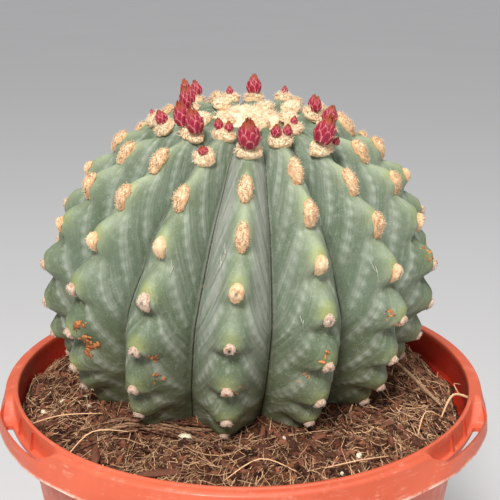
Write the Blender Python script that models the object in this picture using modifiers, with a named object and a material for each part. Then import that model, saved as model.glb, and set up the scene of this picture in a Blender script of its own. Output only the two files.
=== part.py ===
"""A round ribbed cactus in flower bud, growing in a plastic nursery pot.

Metres, +Z up. The origin is at the middle of the pot's underside, and the front is towards -Y.
"""
import math

import bmesh
import bpy
from mathutils import Matrix, Vector

# Driving dimensions of the pot: heights below the rim are measured down from its top
POT_HEIGHT = 0.165
RIM_INNER_RADIUS = 0.100
RIM_BAND = 0.0018            # width of the raised band round the mouth
RIM_WIDTH = 0.0058           # inner edge to outer edge of the rim's top
SKIRT_BELOW_SCOOP = 0.0017   # from the underside of a scoop's floor to the skirt's foot
SKIRT_FLARE = 0.0027         # how far the skirt's foot stands out past its top
SKIRT_WALL = 0.0013
TOP_WALL = 0.0020
WALL = 0.0018
NECK_BELOW_SKIRT = 0.0035    # from the skirt's foot to where the neck steps in to the wall
SHOULDER_STEP = 0.0048
SHOULDER_DROP = 0.0040
BASE_RADIUS = 0.078
BASE_THICKNESS = 0.0022
FOOT_HEIGHT = 0.0028
FOOT_WIDTH = 0.0070
DRAIN_HOLES = 6
DRAIN_RADIUS = 0.0045
DRAIN_CIRCLE_RADIUS = 0.052
POT_STEPS = 40
FACET_TURN = 1.7             # keeps the pot's facet edges off the handles' middle lines

# Lifting handles: a scoop in the rim, a slot through its floor and a bar outside it
HANDLE_AZIMUTHS = (56.8, 180.0, 301.4)
SCOOP_HALF_ANGLE = 15.8
SCOOP_END_ANGLE = 4.6        # over which the scoop's ends slope down to its floor
SCOOP_END_STEPS = (0.0, 0.3, 0.6, 1.0)
SCOOP_DEPTH = 0.0085
SCOOP_FLOOR = 0.0018
SLOT_HALF_ANGLE = 9.2
LEDGE_WIDTH = 0.0022         # floor left between the neck and the slot
SLOT_WIDTH = 0.0034
BAR_WIDTH = 0.0018            # the bar outside the slot
BAR_HALF_ANGLE = 20.0
BAR_TOP_DEPTH = 0.0042
GUSSET_ANGLE = 4.0
GUSSET_THICKNESS = 0.0014

SKIRT_DEPTH = SCOOP_DEPTH + SCOOP_FLOOR + SKIRT_BELOW_SCOOP
SHOULDER_DEPTH = SKIRT_DEPTH + NECK_BELOW_SKIRT
# how far the skirt stands out further at a handle, to go round the slot
BAR_BULGE = TOP_WALL + LEDGE_WIDTH + SLOT_WIDTH + BAR_WIDTH - RIM_WIDTH - SKIRT_FLARE

# The soil
SOIL_DEPTH_AT_WALL = 0.0125
SOIL_MOUND = 0.0145          # how far it heaps up towards the plant
SOIL_STEPS = 36
CLEARANCE = 0.0003           # between pieces that touch
SOCKET_CLEARANCE = 0.0006    # round the stem, measured along its vertex normals

# The plant: heights above the rim's top, along its own axis
RIBS = 14
TURN = 13                    # places between two areoles of one rib
RIB_SHIFT = 8                # places between areoles of neighbouring ribs
FIRST_PLACE = -39            # the place of the crown's middle
STEM_RADIUS = 0.085
STEM_HEIGHT = 0.119
# Radius and height of the rib crest at each turn, from the crown's middle down to the root,
# as parts of the two sizes above
CREST_OUTLINE = (
    (0.00, 0.970), (0.21, 1.000), (0.39, 0.985), (0.56, 0.920), (0.745, 0.820), (0.89, 0.680),
    (0.99, 0.520), (1.00, 0.357), (0.97, 0.214), (0.90, 0.119), (0.80, 0.015), (0.67, -0.080),
    (0.47, -0.155), (0.24, -0.205), (0.00, -0.220),
)
RIB_DEPTH = 0.019
# Depth of the valleys at each turn, as a part of the deepest
DEPTH_ALONG = (0.0, 0.11, 0.37, 0.70, 0.90, 0.98, 0.96, 0.93, 0.87, 0.72, 0.43, 0.21, 0.08, 0.0, 0.0)
TUBERCLE_DEPTH = 0.0055
TUBERCLE_ALONG = (0.0, 0.10, 0.25, 0.50, 0.75, 0.95, 1.0, 1.0, 0.95, 0.70, 0.2, 0.0, 0.0, 0.0, 0.0)
NOSE_DROP = 0.26             # part of a turn in which the crest falls away below an areole
NOSE_TOP = 0.06              # part of a turn above an areole in which the crest is at its full height
NOSE_HALF_WIDTH = 0.32       # of a tubercle, as a part of half a rib
CREST_ROUNDING = 0.14
CHEVRON = 4.0                # places by which the tubercles trail down to the valleys
TURN_OFFSET = -1.75
RIB_CROWDING = 1.7           # degrees by which the ribs crowd together at the back
LEAN_FORWARD = 10.96
LEAN_RIGHT = 1.17
PIVOT_DEPTH = 0.010
OFFSET_SHARE = (-0.15, 0.70)  # sideways place of the root, as parts of the room in the pot
ROOM_CLEARANCE = 0.0035
GROWTH_SHEAR = (0.058, -0.050)
SHEAR_HEIGHT = 0.42
ROWS_PER_TURN = 4
ROOT_TURNS = 4               # turns below the lowest areoles, with half as many rows
COLUMNS_PER_RIB = 4

# Wool pads of the areoles: half width, half length and height
PAD_SIZE = (0.0036, 0.0052, 0.0028)
BUD_PAD_SIZE = (0.0057, 0.0054, 0.0034)
CROWN_PAD_SIZE = (0.0034, 0.0043, 0.0030)
PAD_SPACING_SHARE = 0.44     # widest half pad, as a part of the ribs' spacing there
PAD_TURNS = (-26, -13)
CROWN_WOOL_RADIUS = 0.0125
CROWN_WOOL_HEIGHT = 0.0045
BUD_LIFT = 0.0016            # how far a bud's foot stands above the skin

# Buds: rib, place, shift across and along the rib, radius and height
BUDS = (
    (0, -13, 0.0, 0.0, 0.0048, 0.0125),
    (1, -18, -0.0022, 0.0, 0.0023, 0.0052),
    (1, -18, 0.0026, 0.0, 0.0021, 0.0046),
    (2, -23, 0.0, 0.0, 0.0017, 0.0036),
    (2, -10, -0.0016, -0.0006, 0.0046, 0.0125),
    (2, -10, 0.0046, 0.0024, 0.0016, 0.0036),
    (3, -15, 0.0, 0.0, 0.0035, 0.0078),
    (4, -20, -0.0026, 0.0, 0.0025, 0.0066),
    (4, -20, 0.0024, 0.0, 0.0022, 0.0058),
    (6, -17, 0.0, 0.0, 0.0017, 0.0036),
    (7, -22, 0.0, 0.0, 0.0036, 0.0085),
    (-6, -22, 0.0, 0.0, 0.0018, 0.0038),
    (-5, -14, -0.0032, 0.0, 0.0028, 0.0070),
    (-5, -14, 0.0028, 0.0, 0.0030, 0.0090),
    (-4, -19, -0.0028, 0.0, 0.0027, 0.0085),
    (-4, -19, 0.0030, 0.0, 0.0029, 0.0095),
    (-2, -16, -0.0044, 0.0, 0.0040, 0.0105),
    (-2, -16, 0.0042, 0.0, 0.0040, 0.0105),
    (-1, -21, -0.0022, 0.0, 0.0021, 0.0046),
    (-1, -21, 0.0023, 0.0, 0.0020, 0.0042),
    (-1, -8, 0.0, 0.0, 0.0022, 0.0032),
    (-3, -11, 0.0, 0.0, 0.0028, 0.0058),
    (-4, -6, 0.0, 0.0, 0.0014, 0.0026),
)
BUD_SIDES = 8
# Outline of a bud, from its foot to its tip, as parts of its radius and height
BUD_OUTLINE = ((0.60, 0.0), (0.98, 0.24), (0.90, 0.50), (0.52, 0.78), (0.0, 1.0))


def clear_scene():
    for ob in list(bpy.data.objects):
        bpy.data.objects.remove(ob, do_unlink=True)


def new_collection(name):
    collection = bpy.data.collections.new(name)
    bpy.context.scene.collection.children.link(collection)
    return collection


def new_material(name, colour, roughness):
    material = bpy.data.materials.new(name)
    material.use_nodes = True
    shader = material.node_tree.nodes["Principled BSDF"]
    shader.inputs["Base Color"].default_value = (*colour, 1.0)
    shader.inputs["Roughness"].default_value = roughness
    shader.inputs["Metallic"].default_value = 0.0
    material.diffuse_color = (*colour, 1.0)
    return material


def object_from_bmesh(name, bm, collection, material=None, smooth_angle=None):
    mesh = bpy.data.meshes.new(name)
    bm.to_mesh(mesh)
    bm.free()
    if smooth_angle is not None:
        mesh.shade_smooth()
        mesh.set_sharp_from_angle(angle=math.radians(smooth_angle))
    if material is not None:
        mesh.materials.append(material)
    ob = bpy.data.objects.new(name, mesh)
    collection.objects.link(ob)
    return ob


def turned(name, outline, steps, collection, material=None):
    """A solid of revolution: the outline's (radius, height) points run down its outer side."""
    bm = bmesh.new()
    verts = [bm.verts.new((radius, 0.0, height)) for radius, height in outline]
    for first, second in zip(verts, verts[1:]):
        bm.edges.new((first, second))
    ob = object_from_bmesh(name, bm, collection, material)
    screw = ob.modifiers.new("Screw", "SCREW")
    screw.axis = "Z"
    screw.steps = steps
    screw.render_steps = steps
    screw.use_merge_vertices = True
    screw.merge_threshold = 0.00001
    screw.use_smooth_shade = True
    return ob


def outline_slab(name, points, low, high, collection):
    """A flat outline in the XY plane, from height low to height high, as a mesh."""
    curve = bpy.data.curves.new(name, "CURVE")
    curve.dimensions = "2D"
    curve.fill_mode = "BOTH"
    curve.extrude = (high - low) / 2
    spline = curve.splines.new("POLY")
    spline.points.add(len(points) - 1)
    for point, (x, y) in zip(spline.points, points):
        point.co = (x, y, 0.0, 1.0)
    spline.use_cyclic_u = True
    return mesh_from_curve(name, curve, Vector((0, 0, (low + high) / 2)), collection)


def mesh_from_curve(name, curve, place, collection):
    source = bpy.data.objects.new(name + "_curve", curve)
    source.location = place
    collection.objects.link(source)
    bpy.context.view_layer.update()
    evaluated = source.evaluated_get(bpy.context.evaluated_depsgraph_get())
    mesh = bpy.data.meshes.new_from_object(evaluated)
    bm = bmesh.new()
    bm.from_mesh(mesh)
    bmesh.ops.remove_doubles(bm, verts=bm.verts, dist=0.000001)
    bmesh.ops.recalc_face_normals(bm, faces=bm.faces)
    bm.to_mesh(mesh)
    bm.free()
    ob = bpy.data.objects.new(name, mesh)
    ob.matrix_world = source.matrix_world.copy()
    collection.objects.link(ob)
    bpy.data.objects.remove(source, do_unlink=True)
    return ob


def boolean(ob, other, operation):
    modifier = ob.modifiers.new(operation.title() + " " + other.name, "BOOLEAN")
    modifier.operation = operation
    modifier.solver = "EXACT"
    modifier.object = other
    other.hide_render = True
    other.display_type = "WIRE"


def grown_copy(source, distance, collection):
    """A cutter with the evaluated shape of source, moved outwards by distance."""
    bpy.context.view_layer.update()
    evaluated = source.evaluated_get(bpy.context.evaluated_depsgraph_get())
    mesh = bpy.data.meshes.new_from_object(evaluated)
    cutter = bpy.data.objects.new(source.name + "_cutter", mesh)
    cutter.matrix_world = source.matrix_world.copy()
    collection.objects.link(cutter)
    displace = cutter.modifiers.new("Clearance", "DISPLACE")
    displace.strength = distance
    displace.mid_level = 0.0
    return cutter


def polar(radius, azimuth):
    """A point at an azimuth in degrees, counted from the front (-Y) towards +X."""
    angle = math.radians(azimuth)
    return (radius * math.sin(angle), -radius * math.cos(angle))


def spread(low, high, count):
    return [low + (high - low) * i / (count - 1) for i in range(count)]


def curved_slot(inner, outer, middle, half_angle, corner_points=4):
    """A slot that follows the rim, with round ends."""
    radius = (outer - inner) / 2
    centre_radius = (inner + outer) / 2
    inset = math.degrees(radius / centre_radius)
    low = middle - half_angle + inset
    high = middle + half_angle - inset
    points = [polar(outer, a) for a in spread(low, high, 7)]
    for end, sign in ((high, 1), (low, -1)):
        centre = Vector(polar(centre_radius, end))
        across = Vector(polar(1.0, end))
        along = Vector(polar(1.0, end + 90.0))
        turn = [math.pi * (i + 1) / (corner_points + 1) for i in range(corner_points)]
        for angle in turn:
            side = sign * radius
            points.append(tuple(centre + across * side * math.cos(angle) + along * side * math.sin(angle)))
        if sign == 1:
            points += [polar(inner, a) for a in spread(high, low, 7)]
    return points


def smooth_step(value):
    value = min(max(value, 0.0), 1.0)
    return value * value * (3 - 2 * value)


def smooth_curve(values, place):
    """A Catmull-Rom curve through values one turn apart, the first at the crown's middle."""
    t = (place - FIRST_PLACE) / TURN
    i = min(max(int(math.floor(t)), 0), len(values) - 2)
    f = t - i
    before = values[abs(i - 1)] if i else values[1]
    after = values[min(i + 2, len(values) - 1)]
    start, end = values[i], values[i + 1]
    return 0.5 * (2 * start + (end - before) * f + (2 * before - 5 * start + 4 * end - after) * f * f
                  + (3 * start - before - 3 * end + after) * f ** 3)


LAST_PLACE = FIRST_PLACE + TURN * (len(CREST_OUTLINE) - 1)


def crest_point(place):
    radius = abs(smooth_curve([r for r, _ in CREST_OUTLINE], place)) * STEM_RADIUS
    height = smooth_curve([h for _, h in CREST_OUTLINE], place) * STEM_HEIGHT
    return radius, height


def crest_normal(place):
    """The outline's outward direction in its own plane."""
    step = 0.5
    r0, h0 = crest_point(max(place - step, FIRST_PLACE + 0.01))
    r1, h1 = crest_point(min(place + step, LAST_PLACE - 0.01))
    length = math.hypot(r1 - r0, h1 - h0)
    return (h0 - h1) / length, (r1 - r0) / length


def nose(turn_part):
    """How far the crest is sunk: nothing at an areole, most just below it."""
    if turn_part < NOSE_DROP:
        return smooth_step(turn_part / NOSE_DROP)
    return 1 - smooth_step((turn_part - NOSE_DROP) / (1 - NOSE_TOP - NOSE_DROP))


def plant_transform(point):
    """From the plant's own axis to its leaning place in the pot."""
    base_radius = CREST_OUTLINE[9][0] * STEM_RADIUS
    room = RIM_INNER_RADIUS - base_radius - ROOM_CLEARANCE
    pivot = Vector((0, 0, -PIVOT_DEPTH))
    lean = Matrix.Rotation(math.radians(LEAN_FORWARD), 3, "X") @ Matrix.Rotation(
        math.radians(LEAN_RIGHT), 3, "Y")
    placed = lean @ (Vector(point) - pivot) + pivot
    placed.x += OFFSET_SHARE[0] * room
    placed.y += OFFSET_SHARE[1] * room
    rise = placed.z - SHEAR_HEIGHT * STEM_HEIGHT
    placed.x += GROWTH_SHEAR[0] * rise
    placed.y += GROWTH_SHEAR[1] * rise
    placed.z += POT_HEIGHT
    return placed


def rib_azimuth(rib):
    phase = 360.0 / RIBS * rib
    return TURN_OFFSET + phase - RIB_CROWDING * math.sin(math.radians(phase))


def stem_point(rib, place, across):
    """A point of the skin: across is 0 on the crest and 1 in the valley on either side."""
    radius, height = crest_point(place)
    out, up = crest_normal(place)
    width = abs(across)
    rounding = math.hypot(width, CREST_ROUNDING) - CREST_ROUNDING
    valley = rounding / (math.hypot(1, CREST_ROUNDING) - CREST_ROUNDING)
    sink = RIB_DEPTH * smooth_curve(DEPTH_ALONG, place) * valley
    part = ((place - RIB_SHIFT * rib - CHEVRON * width) / TURN) % 1.0
    narrow = math.exp(-(width / NOSE_HALF_WIDTH) ** 2)
    sink += TUBERCLE_DEPTH * smooth_curve(TUBERCLE_ALONG, place) * nose(part) * narrow
    azimuth = rib_azimuth(rib + across / 2)
    x, y = polar(max(radius - sink * out, 0.0), azimuth)
    return plant_transform((x, y, height - sink * up))


def skin_frame(rib, place):
    """The crest's point at a place, with its directions across, along and out of the rib."""
    here = stem_point(rib, place, 0.0)
    radius, height = crest_point(place)
    out, up = crest_normal(place)
    x, y = polar(radius, rib_azimuth(rib))
    nx, ny = polar(out, rib_azimuth(rib))
    base = plant_transform((x, y, height))
    normal = (plant_transform((x + nx * 0.01, y + ny * 0.01, height + up * 0.01)) - base).normalized()
    tx, ty = polar(0.01, rib_azimuth(rib) + 90.0)
    side = (plant_transform((x + tx, y + ty, height)) - base).normalized()
    side = (side - normal * side.dot(normal)).normalized()
    return here, Matrix((side, normal.cross(side), normal)).transposed()


def rib_numbers():
    return range(1 - RIBS // 2, RIBS // 2 + 1)


def make_pot(collection, cutters, material):
    """The pot's section goes all round, and changes from the plain rim to the handle and back."""
    bm = bmesh.new()
    rings = []
    for azimuth in pot_azimuths():
        ring = [bm.verts.new((*polar(radius, azimuth), height)) for radius, height in pot_section(azimuth)]
        rings.append(ring)
    floor = bm.verts.new((0.0, 0.0, FOOT_HEIGHT + BASE_THICKNESS))
    underside = bm.verts.new((0.0, 0.0, FOOT_HEIGHT))
    for ring, following in zip(rings, rings[1:] + rings[:1]):
        bm.faces.new((floor, ring[0], following[0]))
        for i in range(len(ring) - 1):
            bm.faces.new((ring[i], ring[i + 1], following[i + 1], following[i]))
        bm.faces.new((underside, following[-1], ring[-1]))
    bmesh.ops.recalc_face_normals(bm, faces=bm.faces)
    pot = object_from_bmesh("pot", bm, collection, material, smooth_angle=40)

    neck = RIM_INNER_RADIUS + TOP_WALL
    bottom = POT_HEIGHT - SCOOP_DEPTH - SCOOP_FLOOR
    for i, azimuth in enumerate(HANDLE_AZIMUTHS):
        slot = outline_slab(
            f"slot_{i + 1}",
            curved_slot(neck + LEDGE_WIDTH, neck + LEDGE_WIDTH + SLOT_WIDTH, azimuth, SLOT_HALF_ANGLE),
            bottom - SCOOP_DEPTH / 2, POT_HEIGHT - SCOOP_DEPTH / 2, cutters)
        boolean(pot, slot, "DIFFERENCE")
        for side, sign in (("left", -1), ("right", 1)):
            gusset = make_gusset(f"gusset_{i + 1}_{side}", azimuth + sign * GUSSET_ANGLE, neck, cutters)
            boolean(pot, gusset, "UNION")
    for i in range(DRAIN_HOLES):
        bm = bmesh.new()
        bmesh.ops.create_cone(bm, cap_ends=True, segments=12, radius1=DRAIN_RADIUS,
                              radius2=DRAIN_RADIUS, depth=4 * BASE_THICKNESS)
        hole = object_from_bmesh(f"drain_{i + 1}", bm, cutters)
        x, y = polar(DRAIN_CIRCLE_RADIUS, 360.0 * (i + 0.5) / DRAIN_HOLES)
        hole.location = (x, y, FOOT_HEIGHT + BASE_THICKNESS / 2)
        boolean(pot, hole, "DIFFERENCE")
    return pot


def pot_azimuths():
    """Even steps round the pot, with closer ones where the handles begin and end."""
    azimuths = {round(360.0 * i / POT_STEPS + FACET_TURN, 3) for i in range(POT_STEPS)}
    for middle in HANDLE_AZIMUTHS:
        for share in SCOOP_END_STEPS:
            for sign in (-1, 1):
                offset = SCOOP_HALF_ANGLE - SCOOP_END_ANGLE * share
                azimuths.add(round((middle + sign * offset) % 360.0, 3))
    ordered = sorted(azimuths)
    return [a for a, after in zip(ordered, ordered[1:] + [ordered[0] + 360.0]) if after - a > 0.4]


def handle_weights(azimuth):
    """How far the rim is scooped out and how far its skirt bulges, each from 0 to 1."""
    off = min(abs((azimuth - middle + 180.0) % 360.0 - 180.0) for middle in HANDLE_AZIMUTHS)
    scoop = smooth_step((SCOOP_HALF_ANGLE - off) / SCOOP_END_ANGLE)
    bulge = smooth_step((BAR_HALF_ANGLE - off) / (BAR_HALF_ANGLE - SLOT_HALF_ANGLE))
    return scoop, bulge


def wall_radius(height):
    """The wall's outer radius at a height, below the shoulder."""
    top = POT_HEIGHT - SHOULDER_DEPTH - SHOULDER_DROP
    share = height / top
    return BASE_RADIUS + (RIM_INNER_RADIUS + TOP_WALL - SHOULDER_STEP - BASE_RADIUS) * share


def pot_section(azimuth):
    """Radius and height of the pot's section, from the inside floor over the rim to the foot."""
    scoop, bulge = handle_weights(azimuth)
    rim = POT_HEIGHT
    neck = RIM_INNER_RADIUS + TOP_WALL
    edge = RIM_INNER_RADIUS + RIM_WIDTH
    lip = edge + SKIRT_FLARE + BAR_BULGE * bulge
    shoulder = rim - SHOULDER_DEPTH
    wall_top = shoulder - SHOULDER_DROP
    floor = FOOT_HEIGHT + BASE_THICKNESS
    scoop_floor = rim - SCOOP_DEPTH
    under = scoop_floor - SCOOP_FLOOR
    foot = rim - SKIRT_DEPTH
    bar_inner = neck + LEDGE_WIDTH + SLOT_WIDTH
    bar_top = rim - BAR_TOP_DEPTH
    inside = [
        (wall_radius(floor) - WALL - 0.004, floor),
        (wall_radius(floor) - WALL, floor + 0.004),
        (wall_radius(wall_top) - WALL, wall_top + 0.001),
        (RIM_INNER_RADIUS, shoulder + 0.001),
        (RIM_INNER_RADIUS, rim - 0.0009),
        (RIM_INNER_RADIUS + 0.0005, rim),
        (RIM_INNER_RADIUS + RIM_BAND, rim - 0.0001),
    ]
    # Each point of the rim's top and skirt: where it is on the plain rim and in the scoop
    rim_pairs = (
        ((neck + 0.0009, rim - 0.0001), (neck + 0.0003, scoop_floor + 0.0005)),
        ((neck + 0.0022, rim - 0.0003), (neck + 0.0010, scoop_floor)),
        ((edge - 0.0008, rim - 0.0006), (bar_inner + 0.0004, scoop_floor)),
        ((edge - 0.0003, rim - 0.0011), (bar_inner + 0.0005, bar_top - 0.0010)),
        ((edge, rim - 0.0018), (bar_inner + 0.0014, bar_top)),
        ((edge + 0.45 * SKIRT_FLARE, rim - 0.5 * SKIRT_DEPTH), (lip - 0.0002, bar_top - 0.0014)),
        ((lip, foot), (lip, foot)),
        ((lip - 0.0006, foot - 0.0006), (lip - 0.0006, foot - 0.0006)),
        ((lip - SKIRT_WALL, foot), (lip - SKIRT_WALL, foot)),
        ((edge - SKIRT_WALL, rim - TOP_WALL - 0.0012), (bar_inner + 0.0006, under)),
        ((neck + 0.0006, rim - TOP_WALL), (neck + 0.0006, under)),
        ((neck, rim - TOP_WALL - 0.0006), (neck, under - 0.0006)),
    )
    rim_points = [
        (plain[0] + (scooped[0] - plain[0]) * scoop, plain[1] + (scooped[1] - plain[1]) * scoop)
        for plain, scooped in rim_pairs
    ]
    outside = [
        (neck, shoulder),
        (wall_radius(wall_top), wall_top),
        (wall_radius(0.003), 0.003),
        (BASE_RADIUS - 0.0012, 0.0),
        (BASE_RADIUS - FOOT_WIDTH, 0.0),
        (BASE_RADIUS - FOOT_WIDTH - 0.001, FOOT_HEIGHT),
    ]
    return inside + rim_points + outside


def make_gusset(name, azimuth, neck, cutters):
    """A thin upright triangle between the neck and the scoop's floor."""
    top = POT_HEIGHT - TOP_WALL
    floor = POT_HEIGHT - SCOOP_DEPTH - SCOOP_FLOOR / 2
    inside = neck - TOP_WALL / 2
    outside = neck + LEDGE_WIDTH * 0.9
    triangle = [(inside, top), (neck + 0.0003, top), (outside, floor), (inside, floor)]
    bm = bmesh.new()
    near = [bm.verts.new((-GUSSET_THICKNESS / 2, -r, z)) for r, z in triangle]
    face = bm.faces.new(near)
    extruded = bmesh.ops.extrude_face_region(bm, geom=[face])["geom"]
    moved = [g for g in extruded if isinstance(g, bmesh.types.BMVert)]
    bmesh.ops.translate(bm, vec=(GUSSET_THICKNESS, 0, 0), verts=moved)
    bmesh.ops.recalc_face_normals(bm, faces=bm.faces)
    gusset = object_from_bmesh(name, bm, cutters)
    gusset.rotation_euler.z = math.radians(azimuth)
    return gusset


def make_stem(collection, material):
    """The whole body of the plant, one lofted skin from the crown's middle to the root."""
    turns = len(CREST_OUTLINE) - 1
    rows = turns * ROWS_PER_TURN
    bm = bmesh.new()
    columns = [(rib, -1 + 2 * i / COLUMNS_PER_RIB)
               for rib in rib_numbers() for i in range(COLUMNS_PER_RIB)]
    crown = bm.verts.new(stem_point(0, FIRST_PLACE, 0.0))
    root = bm.verts.new(stem_point(0, LAST_PLACE, 0.0))
    rings = []
    for row in range(1, rows):
        place = FIRST_PLACE + TURN * row / ROWS_PER_TURN
        in_plain_part = row < ROWS_PER_TURN or row > rows - ROOT_TURNS * ROWS_PER_TURN
        if in_plain_part and row % 2:
            continue
        rings.append([bm.verts.new(valley_or_skin(rib, place, across)) for rib, across in columns])
    count = len(columns)
    for i in range(count):
        j = (i + 1) % count
        bm.faces.new((crown, rings[0][i], rings[0][j]))
        for upper, lower in zip(rings, rings[1:]):
            bm.faces.new((upper[i], lower[i], lower[j], upper[j]))
        bm.faces.new((root, rings[-1][j], rings[-1][i]))
    bmesh.ops.triangulate(bm, faces=bm.faces)
    return object_from_bmesh("cactus_stem", bm, collection, material, smooth_angle=60)


def valley_or_skin(rib, place, across):
    """A valley belongs to two ribs, so it takes the mean of both."""
    if across > -1:
        return stem_point(rib, place, across)
    left = rib - 1 if rib > rib_numbers()[0] else rib_numbers()[-1]
    return (stem_point(rib, place, -1.0) + stem_point(left, place, 1.0)) / 2


def soil_outline():
    rim = POT_HEIGHT
    floor = FOOT_HEIGHT + BASE_THICKNESS
    shoulder = rim - SHOULDER_DEPTH
    wall_top = shoulder - SHOULDER_DROP
    flat = math.cos(math.pi / POT_STEPS)    # the middle of a pot facet is this much further in
    top_edge = RIM_INNER_RADIUS * flat - CLEARANCE
    side = WALL + 2 * CLEARANCE + RIM_INNER_RADIUS * (1 - flat)
    level = rim - SOIL_DEPTH_AT_WALL
    mound = [(share, level + SOIL_MOUND * (1 - share ** 3)) for share in (0.3, 0.6, 0.75, 0.85, 0.94)]
    return (
        (0.0, level + SOIL_MOUND),
        *[(top_edge * share, height) for share, height in mound],
        (top_edge, level),
        (top_edge, shoulder + 0.001 + 2 * CLEARANCE),
        (wall_radius(wall_top) - side, wall_top + 0.001),
        (wall_radius(floor) - side, floor + 0.004 + CLEARANCE),
        (wall_radius(floor) - side - 0.004, floor + CLEARANCE),
        (0.0, floor + CLEARANCE),
    )


def make_pad(name, rib, place, size, stem_cutter, collection, material):
    """A dome of wool that sits on the skin round an areole."""
    here, frame = skin_frame(rib, place)
    spacing = 2 * math.pi * crest_point(place)[0] / RIBS
    size = (min(size[0], PAD_SPACING_SHARE * spacing), size[1], size[2])
    bm = bmesh.new()
    bmesh.ops.create_icosphere(bm, subdivisions=2, radius=1.0)
    bmesh.ops.scale(bm, vec=size, verts=bm.verts)
    bmesh.ops.transform(bm, matrix=Matrix.Translation(here) @ frame.to_4x4(), verts=bm.verts)
    pad = object_from_bmesh(name, bm, collection, material, smooth_angle=60)
    boolean(pad, stem_cutter, "DIFFERENCE")
    return pad


def make_bud(name, bud, collection, material):
    rib, place, across, along, radius, height = bud
    here, frame = skin_frame(rib, place)
    upright = Vector((0, 0, 1))
    axis = (frame.col[2] * 0.55 + upright * 0.45).normalized()
    rotation = axis.to_track_quat("Z", "Y").to_matrix().to_4x4()
    foot = here + frame.col[0] * across - frame.col[1] * along + axis * BUD_LIFT
    outline = [(0.0, height)]
    outline += [(radius * r, height * h) for r, h in reversed(BUD_OUTLINE[:-1])]
    outline.append((0.0, 0.0))
    ob = turned(name, outline, BUD_SIDES, collection, material)
    ob.matrix_world = Matrix.Translation(foot) @ rotation
    return ob


def make_crown_wool(stem_cutter, collection, material):
    here = stem_point(0, FIRST_PLACE, 0.0)
    axis = (here - plant_transform((0, 0, 0))).normalized()
    bm = bmesh.new()
    bmesh.ops.create_uvsphere(bm, u_segments=16, v_segments=8, radius=1.0)
    bmesh.ops.scale(bm, vec=(CROWN_WOOL_RADIUS, CROWN_WOOL_RADIUS, CROWN_WOOL_HEIGHT), verts=bm.verts)
    matrix = Matrix.Translation(here) @ axis.to_track_quat("Z", "Y").to_matrix().to_4x4()
    bmesh.ops.transform(bm, matrix=matrix, verts=bm.verts)
    wool = object_from_bmesh("crown_wool", bm, collection, material, smooth_angle=60)
    boolean(wool, stem_cutter, "DIFFERENCE")
    return wool


def areole_places(first):
    """Each rib's areole within the turn that starts at a place."""
    return [(rib, first + (RIB_SHIFT * rib - first) % TURN) for rib in rib_numbers()]


def main():
    clear_scene()
    collection = new_collection("potted_round_cactus")
    cutters = new_collection("cutters")
    pot_plastic = new_material("pot_plastic", (0.72, 0.13, 0.05), 0.38)
    soil_mix = new_material("coir_soil", (0.12, 0.065, 0.035), 0.95)
    skin = new_material("cactus_skin", (0.20, 0.29, 0.20), 0.55)
    wool = new_material("areole_wool", (0.72, 0.52, 0.33), 0.95)
    crimson = new_material("bud_scales", (0.55, 0.04, 0.12), 0.5)

    make_pot(collection, cutters, pot_plastic)
    stem = make_stem(collection, skin)
    soil = turned("soil", soil_outline(), SOIL_STEPS, collection, soil_mix)
    socket = grown_copy(stem, SOCKET_CLEARANCE, cutters)
    boolean(soil, socket, "DIFFERENCE")

    bud_cutters = {}
    for i, bud in enumerate(BUDS):
        ob = make_bud(f"flower_bud_{i + 1:02d}", bud, collection, crimson)
        bud_cutters.setdefault(bud[:2], []).append(grown_copy(ob, CLEARANCE, cutters))

    number = 0
    for first in PAD_TURNS:
        for rib, place in areole_places(first):
            number += 1
            buds = bud_cutters.get((rib, place), [])
            size = CROWN_PAD_SIZE if first == PAD_TURNS[0] else PAD_SIZE
            size = BUD_PAD_SIZE if buds else size
            pad = make_pad(f"areole_pad_{number:02d}", rib, place, size, socket, collection, wool)
            for cutter in buds:
                boolean(pad, cutter, "DIFFERENCE")
    make_crown_wool(socket, collection, wool)


main()
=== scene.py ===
"""The looks of the potted round cactus: plant, wool, buds, soil and pot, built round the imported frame."""
import math
import random

import bmesh
import bpy
import numpy as np
from mathutils import Matrix, Vector, noise


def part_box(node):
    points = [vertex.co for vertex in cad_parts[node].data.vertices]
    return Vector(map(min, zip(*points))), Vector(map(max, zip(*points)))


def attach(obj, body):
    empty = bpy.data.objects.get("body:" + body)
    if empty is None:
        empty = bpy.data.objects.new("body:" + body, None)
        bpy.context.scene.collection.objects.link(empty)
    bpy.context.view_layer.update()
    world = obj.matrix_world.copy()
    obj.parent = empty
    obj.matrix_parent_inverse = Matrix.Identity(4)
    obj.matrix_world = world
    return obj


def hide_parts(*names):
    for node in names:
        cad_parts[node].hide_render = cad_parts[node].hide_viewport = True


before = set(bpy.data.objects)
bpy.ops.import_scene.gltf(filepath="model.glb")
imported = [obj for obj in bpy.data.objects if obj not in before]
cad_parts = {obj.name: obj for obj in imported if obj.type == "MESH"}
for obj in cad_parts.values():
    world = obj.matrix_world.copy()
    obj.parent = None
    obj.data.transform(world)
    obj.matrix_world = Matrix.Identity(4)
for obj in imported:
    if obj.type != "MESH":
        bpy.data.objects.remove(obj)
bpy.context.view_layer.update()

BODY = "root"
RIM_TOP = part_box("pot")[1][2]

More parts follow.
